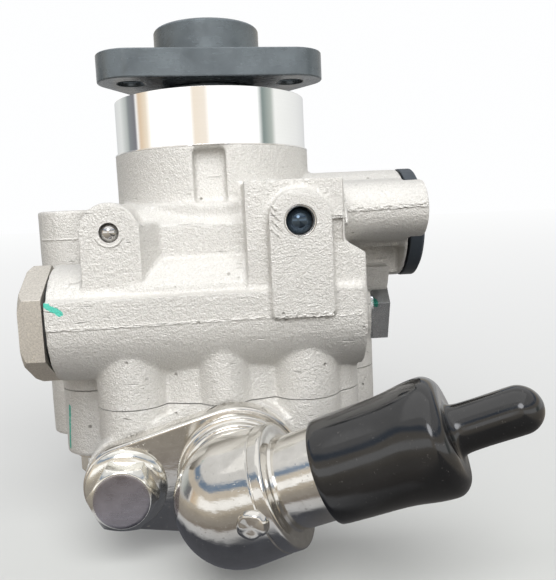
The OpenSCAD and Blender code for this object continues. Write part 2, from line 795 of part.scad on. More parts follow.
module suction_elbow() {
  color("Silver") difference() {
    union() {
      on_outlet() rotate_extrude() leg_section();
      difference() {
        translate([elbow_x, -elbow_face, elbow_z]) to_front() {
          cylinder(r = 11, h = elbow_reach - elbow_face - 3);
          cylinder(r = elbow_plate_r - 1.4, h = elbow_plate_t + 2.2);
          cylinder(r = elbow_plate_r - 2.6, h = elbow_plate_t + 4.2);
        }
        translate([elbow_x, -elbow_reach, elbow_z]) sphere(r = elbow_bulb_d / 2 - 1);
      }
      translate([0, -elbow_face, 0]) to_front() linear_extrude(elbow_plate_t) elbow_outline(0);
      translate([elbow_x, -elbow_face + inlet_len, elbow_z]) to_front() cylinder(r = inlet_r, h = inlet_len + eps);
    }
    translate([elbow_x, -elbow_face + inlet_len + eps, elbow_z])
      to_front() cylinder(r = inlet_bore_r, h = elbow_reach - elbow_face + inlet_len + eps);
    translate([elbow_x, -elbow_face + 4.6, elbow_z])
      to_front() ring(inlet_r + eps, inlet_r - 1.4, 2 * elbow_ring_wire + 0.2);
    translate([elbow_bolt_x, -elbow_face + eps, elbow_bolt_z])
      to_front() cylinder(r = elbow_bolt_d / 2 + 0.4, h = elbow_plate_t + 2 * eps);
  }
}

module elbow_seal() {
  color("Black") translate([elbow_x, -elbow_face + 4.5 - elbow_ring_wire, elbow_z])
    to_front() torus(inlet_r - 0.66, elbow_ring_wire - 0.08);
}

module elbow_bolt() {
  color("Gold") translate([elbow_bolt_x, -elbow_face, elbow_bolt_z]) to_front() {
    translate([0, 0, -elbow_bolt_len]) cylinder(r = elbow_bolt_d / 2, h = elbow_bolt_len + elbow_plate_t + eps);
    translate([0, 0, elbow_plate_t]) cylinder(r = elbow_bolt_d * 1.1, h = 1.3);
    translate([0, 0, elbow_plate_t + 1.2]) cylinder(r1 = elbow_bolt_d * 1.02, r2 = elbow_bolt_d * 0.8, h = 0.9);
    translate([0, 0, elbow_plate_t]) rotate([0, 0, 12])
      cylinder(r = elbow_bolt_d * 0.81 / cos(30), h = elbow_bolt_d * 0.94, $fn = 6);
  }
}

// half section of the cap
module cap_section() {
  mid = cap_mouth + cap_len;
  tip = mid + cap_tail;
  polygon(concat(
    [[cap_bore_r, cap_mouth], [cap_mouth_r, cap_mouth], [cap_mouth_r + 0.2, cap_mouth + cap_len * 0.55]],
    [[cap_bulge_r - 0.2, cap_mouth + cap_len * 0.7], [cap_bulge_r, cap_mouth + cap_len * 0.82]],
    arc([cap_bulge_r - 3.4, mid - 3.4], 3.4, 10, 90, 6),
    [[cap_tail_r + 0.9, mid], [cap_tail_r + 0.1, mid + 0.8]],
    arc([0, tip - cap_tail_r], cap_tail_r, 0, 90, 8),
    [[0, mid - 1.2], [cap_bore_r - 1, mid - 1.2], [cap_bore_r, mid - 2.2]]
  ));
}

module suction_cap() {
  color("Black") on_outlet() rotate_extrude() cap_section();
}

front_housing();
rear_cover();
cover_seal();
cover_bolts();
drive_shaft();
drive_flange();
shaft_seal();
bearing_outer_ring();
bearing_inner_ring();
bearing_balls();
bearing_cage();
bearing_circlip();
front_bush();
rear_bush();
rotor();
rotor_circlip();
vane_01();
vane_02();
vane_03();
vane_04();
vane_05();
vane_06();
vane_07();
vane_08();
vane_09();
vane_10();
cam_ring();
dowel_pins();
front_pressure_plate();
rear_pressure_plate();
rear_plate_seal();
control_spool();
control_spring();
valve_plug();
valve_plug_seal();
relief_valve();
small_ball_plug();
large_ball_plug();
outlet_plug();
suction_elbow();
elbow_seal();
elbow_bolt();
suction_cap();
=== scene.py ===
import json
import logging
import math
from dataclasses import dataclass, field
from enum import Enum
from typing import Callable, Optional, Sequence, Union

import bmesh
import bpy
from mathutils import Matrix, Vector


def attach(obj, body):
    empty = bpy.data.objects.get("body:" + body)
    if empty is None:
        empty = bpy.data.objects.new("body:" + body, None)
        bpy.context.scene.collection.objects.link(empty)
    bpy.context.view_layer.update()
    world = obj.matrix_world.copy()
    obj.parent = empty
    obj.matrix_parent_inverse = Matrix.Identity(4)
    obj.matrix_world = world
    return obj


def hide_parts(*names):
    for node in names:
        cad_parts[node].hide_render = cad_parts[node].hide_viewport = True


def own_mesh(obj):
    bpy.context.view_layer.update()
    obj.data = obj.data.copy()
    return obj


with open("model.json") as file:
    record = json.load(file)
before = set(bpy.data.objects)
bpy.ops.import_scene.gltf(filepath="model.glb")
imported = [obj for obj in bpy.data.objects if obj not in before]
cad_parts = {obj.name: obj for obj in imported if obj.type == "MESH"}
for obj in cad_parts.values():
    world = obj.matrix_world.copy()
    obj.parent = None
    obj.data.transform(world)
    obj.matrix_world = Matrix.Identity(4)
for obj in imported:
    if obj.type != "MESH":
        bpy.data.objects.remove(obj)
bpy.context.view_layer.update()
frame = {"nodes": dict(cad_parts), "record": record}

LOG = logging.getLogger("pump")
MM = 0.001  # a millimetre in metres
POLE = 0.01  # a ring with less radius than this, in millimetres, is a point on its axis
MERGE = 0.002  # points closer than this, in millimetres, become one
NEAR = 0.05  # a corner this near to a place, in millimetres, counts as there
PARTING = -82.3  # height of the face between housing and cover, in millimetres
LUGS = ((-41.0, 10.0), (10.0, 41.0))  # left and rear lug of the castings, in millimetres

Point = tuple[float, float, float]
Colour = tuple[float, float, float]
Section = list[tuple[float, float]]
Socket = Union[bpy.types.NodeSocket, float, Colour]


class Body(Enum):
    """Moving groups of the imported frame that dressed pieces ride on."""

    HOUSING = "housing"
    ROTATING = "rotating_group"
    CAP = "suction_cap"
    PLUG = "outlet_plug"


class Slot(Enum):
    """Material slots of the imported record."""

    CAST = "cast_alloy"
    PLATE = "plate_alloy"
    OXIDE = "black_steel"
    INNER = "inner_steel"
    PLUG = "plug_steel"
    PLATED = "plated_steel"
    BRIGHT = "bright_ball"
    DARK = "dark_ball"
    BRONZE = "bronze"
    RUBBER = "seal_rubber"
    PLASTIC = "black_plastic"
    VINYL = "black_vinyl"


class Cut(Enum):
    """Ways in which a tool solid works on a piece."""

    TAKE = "DIFFERENCE"
    KEEP = "INTERSECT"


def metres(point: Sequence[float]) -> Vector:
    """Gives a point of the drawing, in millimetres, as a vector in metres."""
    return Vector(point) * MM


def along(axis: Sequence[float], origin: Sequence[float]) -> Matrix:
    """Makes the place of a turned piece.

    Args:
        axis: Direction that the piece's own Z takes.
        origin: Point of the drawing, in millimetres, that its zero takes.

    Returns:
        The matrix that carries the piece from its own frame to the drawing.
    """
    turn = Vector((0, 0, 1)).rotation_difference(Vector(axis).normalized())
    return Matrix.Translation(metres(origin)) @ turn.to_matrix().to_4x4()


def spun(degrees: float, axis: str) -> Matrix:
    """Gives a turn about an axis of the drawing."""
    return Matrix.Rotation(math.radians(degrees), 4, axis)


def arc(
    centre: tuple[float, float], radius: float, start: float, end: float, steps: int
) -> Section:
    """Lays points on an arc of a half section.

    Args:
        centre: Radius and height of the arc's centre.
        radius: Radius of the arc.
        start: First angle, in degrees from the outward direction.
        end: Last angle, in degrees.
        steps: Number of chords.

    Returns:
        The points as pairs of radius and height.
    """
    turns = [math.radians(start + (end - start) * i / steps) for i in range(steps + 1)]
    return [(centre[0] + radius * math.cos(a), centre[1] + radius * math.sin(a)) for a in turns]


def deselect() -> None:
    """Leaves edit mode and clears the selection."""
    if bpy.context.object is not None and bpy.context.object.mode != "OBJECT":
        bpy.ops.object.mode_set(mode="OBJECT")
    bpy.ops.object.select_all(action="DESELECT")


def activate(piece: bpy.types.Object) -> None:
    """Makes a piece the only selected and the active object."""
    deselect()
    piece.select_set(True)
    bpy.context.view_layer.objects.active = piece


def begin_edit(piece: bpy.types.Object) -> bmesh.types.BMesh:
    """Opens a piece in edit mode with everything selected.

    Args:
        piece: The mesh object.

    Returns:
        The edit mesh, for picking faces and edges.
    """
    activate(piece)
    bpy.ops.object.mode_set(mode="EDIT")
    bpy.ops.mesh.select_mode(type="VERT")
    bpy.ops.mesh.select_all(action="SELECT")
    return bmesh.from_edit_mesh(piece.data)


def end_edit() -> None:
    """Merges doubled points, turns the faces outwards and leaves edit mode."""
    bpy.ops.mesh.select_all(action="SELECT")
    bpy.ops.mesh.remove_doubles(threshold=MERGE * MM)
    bpy.ops.mesh.normals_make_consistent(inside=False)
    bpy.ops.object.mode_set(mode="OBJECT")


def pick_faces(mesh: bmesh.types.BMesh, test: Callable[[Vector, Vector], bool]) -> int:
    """Selects faces by their middle, in millimetres, and their normal.

    Args:
        mesh: The edit mesh.
        test: Takes a face's middle and normal and says whether it is picked.

    Returns:
        The number of faces picked.
    """
    bpy.ops.mesh.select_all(action="DESELECT")
    bpy.ops.mesh.select_mode(type="FACE")
    picked = 0
    for face in mesh.faces:
        hit = test(face.calc_center_median() / MM, face.normal)
        face.select_set(hit)
        picked += hit
    mesh.select_flush_mode()
    return picked


def pick_edges(mesh: bmesh.types.BMesh, test: Callable[[Vector, Vector], bool]) -> int:
    """Selects edges by their two ends, in millimetres.

    Args:
        mesh: The edit mesh.
        test: Takes both ends and says whether the edge is picked.

    Returns:
        The number of edges picked.
    """
    bpy.ops.mesh.select_all(action="DESELECT")
    bpy.ops.mesh.select_mode(type="EDGE")
    picked = 0
    for edge in mesh.edges:
        hit = test(edge.verts[0].co / MM, edge.verts[1].co / MM)
        edge.select_set(hit)
        picked += hit
    return picked


def modify(piece: bpy.types.Object, kind: str, **settings: object) -> None:
    """Adds a modifier to a piece and applies it.

    Args:
        piece: The mesh object.
        kind: Type of the modifier.
        settings: Values of the modifier.
    """
    activate(piece)
    modifier = piece.modifiers.new(kind.lower(), kind)
    for name, value in settings.items():
        setattr(modifier, name, value)
    bpy.ops.object.modifier_apply(modifier=modifier.name)


def cut(piece: bpy.types.Object, tool: bpy.types.Object, way: Cut = Cut.TAKE) -> None:
    """Works a tool solid on a piece and removes the tool.

    Args:
        piece: The mesh object that stays.
        tool: The mesh object that is used up.
        way: What the tool does to the piece.
    """
    modify(piece, "BOOLEAN", object=tool, operation=way.value, solver="MANIFOLD")
    bpy.data.objects.remove(tool)


def smooth(piece: bpy.types.Object, angle: float = 35.0) -> None:
    """Shades a piece smooth except over edges sharper than an angle in degrees."""
    activate(piece)
    bpy.ops.object.shade_smooth_by_angle(angle=math.radians(angle))


def place(piece: bpy.types.Object, where: Matrix) -> bpy.types.Object:
    """Puts a piece's place into its mesh and leaves its object at the origin.

    Args:
        piece: The mesh object.
        where: Matrix from the piece's own frame to the drawing.

    Returns:
        The same piece.
    """
    activate(piece)
    bpy.ops.object.transform_apply(location=True, rotation=True, scale=True)
    piece.data.transform(where)
    piece.data.update()
    return piece


def copy_node(node: str, name: str) -> bpy.types.Object:
    """Copies a CAD node as a new merged mesh.

    Args:
        node: Name of the CAD node.
        name: Name of the new piece.

    Returns:
        The new piece.
    """
    piece = bpy.data.objects.new(name, frame["nodes"][node].data.copy())
    piece.data.name = name
    piece.data.materials.clear()
    bpy.context.scene.collection.objects.link(piece)
    begin_edit(piece)
    bpy.ops.mesh.remove_doubles(threshold=MERGE * MM)
    bpy.ops.object.mode_set(mode="OBJECT")
    return piece


def block(name: str, low: Sequence[float], high: Sequence[float]) -> bpy.types.Object:
    """Adds a box from its two corners in millimetres, as a tool or a start.

    Args:
        name: Name of the object.
        low: Lowest corner.
        high: Highest corner.

    Returns:
        The box.
    """
    deselect()
    a, b = Vector(low), Vector(high)
    bpy.ops.mesh.primitive_cube_add(size=1.0, location=(a + b) / 2 * MM, scale=(b - a) * MM)
    piece = bpy.context.object
    piece.name = name
    return place(piece, Matrix.Identity(4))


def slanted(
    name: str,
    low: Sequence[float],
    high: Sequence[float],
    shift: Sequence[float],
    edge: Sequence[Optional[float]],
) -> bpy.types.Object:
    """Models a block with one edge moved, which gives it a sloped face.

    Args:
        name: Name of the piece.
        low: Lowest corner.
        high: Highest corner.
        shift: How far the edge moves.
        edge: Place of the edge, with None along its own direction.

    Returns:
        The block.
    """
    piece = block(name, low, high)
    mesh = begin_edit(piece)

    def on_edge(point: Vector) -> bool:
        """Tells whether a corner lies on the edge that moves."""
        return all(want is None or abs(at - want) < NEAR for at, want in zip(point, edge))

    pick_edges(mesh, lambda p, q: on_edge(p) and on_edge(q))
    bpy.ops.transform.translate(value=metres(shift))
    end_edit()
    return piece


def close_ring(rise: float) -> None:
    """Draws the selected ring in to one point on its axis.

    Args:
        rise: Height of the point over the ring in millimetres.
    """
    bpy.ops.mesh.extrude_region_move(TRANSFORM_OT_translate={"value": (0, 0, rise * MM)})
    bpy.ops.mesh.merge(type="CENTER")


def lathe(
    name: str, section: Section, where: Matrix, sides: int = 96, closed: bool = False
) -> bpy.types.Object:
    """Turns a half section about its axis, one extruded ring after another.

    Args:
        name: Name of the piece.
        section: Points as radius and height in millimetres; a radius of zero closes an end.
        where: Place of the turned axis.
        sides: Number of sides of a ring.
        closed: Whether the section comes back to its first point.

    Returns:
        The turned piece.
    """
    deselect()
    first_pole, last_pole = section[0][0] < POLE, section[-1][0] < POLE
    rings = section[int(first_pole):len(section) - int(last_pole)]
    if closed:
        rings = rings + [rings[0]]
    radius, height = rings[0]
    bpy.ops.mesh.primitive_circle_add(
        vertices=sides, radius=radius * MM, fill_type="NOTHING", location=(0, 0, height * MM)
    )
    piece = bpy.context.object
    piece.name = name
    begin_edit(piece)
    for (r0, z0), (r1, z1) in zip(rings, rings[1:]):
        bpy.ops.mesh.extrude_region_move(TRANSFORM_OT_translate={"value": (0, 0, (z1 - z0) * MM)})
        bpy.ops.transform.resize(value=(r1 / r0, r1 / r0, 1), center_override=(0, 0, z1 * MM))
    if last_pole:
        close_ring(section[-1][1] - rings[-1][1])
    if first_pole:
        bpy.ops.mesh.select_all(action="DESELECT")
        bpy.ops.mesh.select_mode(type="EDGE")
        bpy.ops.mesh.select_non_manifold()
        close_ring(section[0][1] - rings[0][1])
    end_edit()
    return place(piece, where)


def rod(
    name: str, start: Sequence[float], axis: Sequence[float], radius: float, length: float
) -> bpy.types.Object:
    """Adds a round tool or filler.

    Args:
        name: Name of the object.
        start: Middle of its first end in millimetres.
        axis: Direction from that end.
        radius: Radius in millimetres.
        length: Length in millimetres.

    Returns:
        The rod.
    """
    section = [(0, 0), (radius, 0), (radius, length), (0, length)]
    return lathe(name, section, along(axis, start), sides=72)


def weld(piece: bpy.types.Object, others: Sequence[bpy.types.Object]) -> None:
    """Joins other objects into a piece.

    Args:
        piece: The object that stays.
        others: The objects that are used up.
    """
    deselect()
    for other in others:
        other.select_set(True)
    piece.select_set(True)
    bpy.context.view_layer.objects.active = piece
    bpy.ops.object.join()


def flatten_facets(piece: bpy.types.Object, angle: float = 0.5) -> None:
    """Joins the flat triangles of a copied node into whole faces."""
    begin_edit(piece)
    bpy.ops.mesh.dissolve_limited(angle_limit=math.radians(angle))
    bpy.ops.object.mode_set(mode="OBJECT")


def soften(
    piece: bpy.types.Object,
    width: float,
    segments: int = 3,
    angle: float = 32.0,
    shade: float = 40.0,
) -> None:
    """Rounds the sharp edges of a hard piece.

    Args:
        piece: The mesh object.
        width: Width of the rounding in millimetres.
        segments: Number of facets across it.
        angle: Edges sharper than this, in degrees, are rounded.
        shade: Edges sharper than this, in degrees, stay sharp in the shading.
    """
    modify(
        piece,
        "BEVEL",
        width=width * MM,
        segments=segments,
        limit_method="ANGLE",
        angle_limit=math.radians(angle),
        miter_outer="MITER_ARC",
    )
    smooth(piece, shade)
    modify(piece, "WEIGHTED_NORMAL", keep_sharp=True)


def ruffle(
    piece: bpy.types.Object,
    name: str,
    cloud: float,
    strength: float,
    middle: float,
    octaves: int = 2,
) -> None:
    """Moves a piece's surface in and out by soft clouds.

    Args:
        piece: The mesh object.
        name: Name of the cloud texture.
        cloud: Size of a cloud in millimetres.
        strength: Span of the move in millimetres.
        middle: Value of the clouds, from 0 to 1, at which the surface stays.
        octaves: How often finer clouds are added.
    """
    clouds = bpy.data.textures.new(name, "CLOUDS")
    clouds.noise_scale = cloud * MM
    clouds.noise_depth = octaves
    modify(
        piece,
        "DISPLACE",
        texture=clouds,
        strength=strength * MM,
        mid_level=middle,
        texture_coords="LOCAL",
    )


class Graph:
    """A node tree that is filled one node at a time."""

    def __init__(self, tree: bpy.types.NodeTree) -> None:
        """Takes the tree and clears it."""
        self.tree = tree
        tree.nodes.clear()

    def add(self, kind: str, inputs: Optional[dict] = None, **settings: object) -> bpy.types.Node:
        """Adds a node.

        Args:
            kind: Type of the node, without its ShaderNode prefix.
            inputs: Values or sockets by input name or index.
            settings: Properties of the node.

        Returns:
            The node.
        """
        node = self.tree.nodes.new(kind if kind.startswith("NodeGroup") else "ShaderNode" + kind)
        for name, value in settings.items():
            setattr(node, name, value)
        for name, value in (inputs or {}).items():
            self.feed(node.inputs[name], value)
        return node

    def feed(self, socket: bpy.types.NodeSocket, value: object) -> None:
        """Links a socket to an input, or sets the input's own value."""
        if isinstance(value, bpy.types.NodeSocket):
            self.tree.links.new(value, socket)
        elif isinstance(value, (tuple, list, Vector)) and socket.type == "RGBA":
            socket.default_value = (*value[:3], 1.0)
        else:
            socket.default_value = value

    def math(
        self, operation: str, a: Socket, b: Socket = 0.0, clamp: bool = False
    ) -> bpy.types.NodeSocket:
        """Adds a sum of two values and gives its result."""
        return self.add("Math", {0: a, 1: b}, operation=operation, use_clamp=clamp).outputs[0]

    def times(self, a: Socket, b: Socket, clamp: bool = False) -> bpy.types.NodeSocket:
        """Gives one value times another."""
        return self.math("MULTIPLY", a, b, clamp)

    def plus(self, a: Socket, b: Socket) -> bpy.types.NodeSocket:
        """Gives one value plus another."""
        return self.math("ADD", a, b)

    def minus(self, a: Socket, b: Socket, clamp: bool = False) -> bpy.types.NodeSocket:
        """Gives one value less another."""
        return self.math("SUBTRACT", a, b, clamp)

    def vector(
        self, operation: str, a: Socket, b: Socket = (0, 0, 0), out: int = 0
    ) -> bpy.types.NodeSocket:
        """Adds a vector sum and gives one of its results."""
        return self.add("VectorMath", {0: a, 1: b}, operation=operation).outputs[out]

    def mix(self, share: Socket, a: Socket, b: Socket, blend: str = "MIX") -> bpy.types.NodeSocket:
        """Mixes two colours and gives the result."""
        node = self.add("Mix", data_type="RGBA", blend_type=blend)
        for index, value in ((0, share), (6, a), (7, b)):
            self.feed(node.inputs[index], value)
        return node.outputs[2]

    def span(
        self, value: Socket, low: float, high: float, to_low: float = 0.0, to_high: float = 1.0
    ) -> bpy.types.NodeSocket:
        """Carries a value from one span to another, clamped."""
        return self.add("MapRange", {0: value, 1: low, 2: high, 3: to_low, 4: to_high}).outputs[0]

    def noise(
        self, vector: Socket, scale: Socket, detail: float = 3.0, rough: float = 0.55
    ) -> bpy.types.NodeSocket:
        """Adds a cloudy noise and gives its value."""
        values = {"Vector": vector, "Scale": scale, "Detail": detail, "Roughness": rough}
        return self.add("TexNoise", values).outputs["Fac"]


class EffectGroups:
    """Node groups that several finishes share."""

    def __init__(self) -> None:
        """Builds every group once."""
        self.grain = self.casting_grain()
        self.cloud = self.surface_cloud()
        self.lines = self.turning_lines()
        self.stroke = self.paint_stroke()
        self.edges = self.edge_wear_and_hollow_shade()

    @staticmethod
    def start(name: str, inputs: dict[str, str], outputs: dict[str, str]) -> tuple:
        """Starts a group with its named sockets.

        Args:
            name: Name of the group.
            inputs: Socket kinds by input name.
            outputs: Socket kinds by output name.

        Returns:
            The group, its graph, its input node and its output node.
        """
        group = bpy.data.node_groups.new(name, "ShaderNodeTree")
        for direction, sockets in (("INPUT", inputs), ("OUTPUT", outputs)):
            for label, kind in sockets.items():
                socket_type = "NodeSocket" + kind
                group.interface.new_socket(name=label, in_out=direction, socket_type=socket_type)
        graph = Graph(group)
        return group, graph, graph.add("NodeGroupInput"), graph.add("NodeGroupOutput")

    def casting_grain(self) -> bpy.types.NodeTree:
        """Builds the blasted skin of a casting: fine grain, sparkle, stains and pits."""
        group, graph, given, result = self.start(
            "casting_grain",
            {"Vector": "Vector", "Grain Scale": "Float", "Pits": "Float"},
            {"Shade": "Float", "Height": "Float", "Sparkle": "Float", "Pit": "Float"},
        )
        where, scale = given.outputs["Vector"], given.outputs["Grain Scale"]
        fine = graph.noise(where, scale, 2.0, 0.65)
        coarse = graph.noise(where, graph.times(scale, 0.42), 2.0, 0.6)
        cell_scale = graph.times(scale, 1.1)
        cells = graph.add("TexVoronoi", {"Vector": where, "Scale": cell_scale}, feature="F1")
        sparkle = graph.span(cells.outputs["Color"], 0.80, 0.97)
        stain = graph.noise(where, 38.0, 3.0, 0.5)
        drawn = graph.vector("MULTIPLY", where, (0.16, 1.0, 1.0))
        scratch = graph.span(graph.noise(drawn, 900.0, 2.0, 0.5), 0.70, 0.76)
        holes = graph.add("TexVoronoi", {"Vector": where, "Scale": 330.0}, feature="F1")
        rare = graph.span(graph.noise(where, 140.0, 1.0), 0.6, 0.68)
        pit = graph.times(graph.span(holes.outputs["Distance"], 0.16, 0.08), rare)
        pit = graph.times(pit, given.outputs["Pits"], clamp=True)
        height = graph.plus(graph.times(fine, 0.55), graph.times(coarse, 0.5))
        height = graph.minus(height, graph.times(pit, 0.9))
        height = graph.minus(height, graph.times(scratch, 0.6))
        shade = graph.plus(graph.times(fine, 0.7), graph.times(stain, 0.3))
        made = {"Shade": shade, "Height": height, "Sparkle": sparkle, "Pit": pit}
        for label, socket in made.items():
            graph.feed(result.inputs[label], socket)
        return group

    def surface_cloud(self) -> bpy.types.NodeTree:
        """Builds soft stains and drawn streaks for plated, oxidised and moulded skins."""
        group, graph, given, result = self.start(
            "surface_cloud",
            {"Vector": "Vector", "Cloud Scale": "Float", "Speck Scale": "Float"},
            {"Cloud": "Float", "Streak": "Float", "Speck": "Float"},
        )
        where = given.outputs["Vector"]
        cloud = graph.noise(where, given.outputs["Cloud Scale"], 4.0, 0.6)
        drawn = graph.vector("MULTIPLY", where, (0.25, 1.0, 1.0))
        streak = graph.noise(drawn, graph.times(given.outputs["Cloud Scale"], 4.0), 3.0, 0.6)
        speck = graph.span(graph.noise(where, given.outputs["Speck Scale"], 2.0, 0.7), 0.66, 0.74)
        for label, socket in {"Cloud": cloud, "Streak": streak, "Speck": speck}.items():
            graph.feed(result.inputs[label], socket)
        return group

    def turning_lines(self) -> bpy.types.NodeTree:
        """Builds the fine rings that a turning tool leaves along Z."""
        group, graph, given, result = self.start(
            "turning_lines",
            {"Vector": "Vector", "Pitch Scale": "Float"},
            {"Line": "Float", "Band": "Float"},
        )
        height = graph.vector("MULTIPLY", given.outputs["Vector"], (0.0, 0.0, 1.0))
        line = graph.noise(height, given.outputs["Pitch Scale"], 4.0, 0.75)
        wander = graph.vector("MULTIPLY", given.outputs["Vector"], (0.06, 0.06, 1.0))
        band = graph.noise(wander, graph.times(given.outputs["Pitch Scale"], 0.12), 2.0, 0.5)
        graph.feed(result.inputs["Line"], line)
        graph.feed(result.inputs["Band"], band)
        return group

    def paint_stroke(self) -> bpy.types.NodeTree:
        """Builds one dab of marking paint between two points, with a ragged rim."""
        group, graph, given, result = self.start(
            "paint_stroke",
            {"Vector": "Vector", "From": "Vector", "Along": "Vector", "Radius": "Float"},
            {"Mask": "Float"},
        )
        reach = graph.vector("SUBTRACT", given.outputs["Vector"], given.outputs["From"])
        line = given.outputs["Along"]
        square = graph.vector("DOT_PRODUCT", line, line, 1)
        ahead = graph.vector("DOT_PRODUCT", reach, line, 1)
        share = graph.math("DIVIDE", ahead, square, clamp=True)
        foot = graph.add("VectorMath", {0: line, "Scale": share}, operation="SCALE").outputs[0]
        gap = graph.vector("LENGTH", graph.vector("SUBTRACT", reach, foot), out=1)
        cloud = graph.noise(given.outputs["Vector"], 900.0, 3.0, 0.7)
        rough = graph.span(cloud, 0.3, 0.7, -0.35, 0.35)
        ratio = graph.plus(graph.math("DIVIDE", gap, given.outputs["Radius"]), rough)
        graph.feed(result.inputs["Mask"], graph.span(ratio, 1.0, 0.86))
        return group

    def edge_wear_and_hollow_shade(self) -> bpy.types.NodeTree:
        """Builds masks of worn edges, and of hollows for painted shade, from the surface's own
        bend.
        """
        group, graph, given, result = self.start(
            "edge_wear_and_hollow_shade",
            {"Vector": "Vector", "Reach": "Float"},
            {"Edge": "Float", "Hollow": "Float"},
        )
        bend = graph.add("NewGeometry").outputs["Pointiness"]
        cloud = graph.noise(given.outputs["Vector"], 420.0, 3.0)
        break_up = graph.span(cloud, 0.35, 0.65, 0.35, 1.0)
        rise = graph.math("DIVIDE", graph.minus(bend, 0.5), given.outputs["Reach"])
        edge = graph.times(graph.span(rise, 0.25, 1.0), break_up)
        hollow = graph.span(rise, -0.45, -1.3)
        graph.feed(result.inputs["Edge"], edge)
        graph.feed(result.inputs["Hollow"], hollow)
        return group


EFFECTS: Optional[EffectGroups] = None


def use_group(
    graph: Graph, group: bpy.types.NodeTree, inputs: dict
) -> bpy.types.bpy_prop_collection:
    """Places a shared group in a material.

    Args:
        graph: Graph of the material.
        group: The shared group.
        inputs: Values or sockets by input name.

    Returns:
        The group's outputs, by name.
    """
    node = graph.add("Group")
    node.node_tree = group
    for name, value in inputs.items():
        graph.feed(node.inputs[name], value)
    return node.outputs


@dataclass(frozen=True)
class Stroke:
    """A dab of marking paint, by its two ends and half width in millimetres."""

    start: Point
    end: Point
    radius: float

    def mask(self, graph: Graph, place_of: bpy.types.NodeSocket) -> bpy.types.NodeSocket:
        """Lays the dab in a material.

        Args:
            graph: Graph of the material.
            place_of: Object coordinates.

        Returns:
            A mask that is 1 on the paint and 0 off it.
        """
        start = metres(self.start)
        inputs = {
            "Vector": place_of,
            "From": start,
            "Along": metres(self.end) - start,
            "Radius": self.radius * MM,
        }
        return use_group(graph, EFFECTS.stroke, inputs)["Mask"]


GRAIN_TONES = (0.36, 0.62)  # values of a casting's grain at which its two colours are plain
CLOUD_TONES = (0.32, 0.66)  # the same for the clouds of steel
RIPPLE_TONES = (0.35, 0.65)  # the same for the ripples of a polymer
STREAK_SPAN = (0.32, 0.68)  # values of the streaks between which roughness changes


@dataclass(frozen=True)
class Finish:
    """What every finish has: a name, its slot and its plain shader values."""

    name: str
    slot: Slot
    colour: Colour
    shade: Colour
    metallic: float
    roughness: tuple[float, float]

    def material(self) -> bpy.types.Material:
        """Gives the finish's material, and builds it the first time."""
        found = bpy.data.materials.get(self.name)
        if found is not None:
            return found
        made = bpy.data.materials.new(self.name)
        made.use_nodes = True
        graph = Graph(made.node_tree)
        shader = graph.add("BsdfPrincipled", {"Metallic": self.metallic})
        place_of = graph.add("TexCoord").outputs["Object"]
        self.dress(graph, shader, place_of)
        output = graph.add("OutputMaterial")
        graph.feed(output.inputs["Surface"], shader.outputs[0])
        return made

    def dress(self, graph: Graph, shader: bpy.types.Node, place_of: bpy.types.NodeSocket) -> None:
        """Links the finish's own pattern to the shader.

        Args:
            graph: Graph of the material.
            shader: The Principled shader.
            place_of: Object coordinates.
        """
        raise NotImplementedError

    def tone(self, graph: Graph, value: Socket, low: float, high: float) -> bpy.types.NodeSocket:
        """Mixes the finish's two colours by a value between two ends."""
        return graph.mix(graph.span(value, low, high), self.shade, self.colour)

    def bump(self, graph: Graph, shader: bpy.types.Node, height: Socket, depth: float) -> None:
        """Links a height, with its depth in millimetres, to the shader's normal."""
        node = graph.add("Bump", {"Height": height, "Distance": depth * MM, "Strength": 1.0})
        graph.feed(shader.inputs["Normal"], node.outputs[0])


@dataclass(frozen=True)
class CastFinish(Finish):
    """Blasted light alloy straight from the die."""

    grain_scale: float = 2700.0
    grain_depth: float = 0.42
    pits: float = 1.0
    edge_reach: float = 0.10
    # Dark colour: dirt in the grain's pits, and painted shade in the surface's hollows.
    dirt_and_shade: Colour = (0.30, 0.28, 0.25)
    worn: Colour = (0.86, 0.86, 0.84)
    strokes: tuple[Stroke, ...] = ()
    paint: Colour = (0.08, 0.45, 0.35)

    def dress(self, graph: Graph, shader: bpy.types.Node, place_of: bpy.types.NodeSocket) -> None:
        """Lays grain, stains, worn edges, painted shade in hollows, painted glints on the grain's
        bright cells and paint over the alloy.
        """
        given = {"Vector": place_of, "Grain Scale": self.grain_scale, "Pits": self.pits}
        grain = use_group(graph, EFFECTS.grain, given)
        edge = use_group(graph, EFFECTS.edges, {"Vector": place_of, "Reach": self.edge_reach})
        colour = self.tone(graph, grain["Shade"], *GRAIN_TONES)
        colour = graph.mix(graph.times(edge["Edge"], 0.55), colour, self.worn)
        # painted shade: hollows are darkened towards the dark colour
        colour = graph.mix(graph.times(edge["Hollow"], 0.3), colour, self.dirt_and_shade)
        colour = graph.mix(graph.times(grain["Pit"], 0.85), colour, self.dirt_and_shade)
        # painted glints: the grain's bright cells are lightened towards the worn colour
        colour = graph.mix(graph.times(grain["Sparkle"], 0.5), colour, self.worn)
        glossy, dull = self.roughness
        rough = graph.span(grain["Sparkle"], 0.0, 1.0, dull, glossy)
        metal = None
        for stroke in self.strokes:
            mask = stroke.mask(graph, place_of)
            colour = graph.mix(mask, colour, self.paint)
            metal = mask if metal is None else graph.math("MAXIMUM", metal, mask)
        if metal is not None:
            graph.feed(shader.inputs["Metallic"], graph.span(metal, 0.0, 1.0, self.metallic, 0.0))
        graph.feed(shader.inputs["Base Color"], colour)
        graph.feed(shader.inputs["Roughness"], rough)
        self.bump(graph, shader, grain["Height"], self.grain_depth)


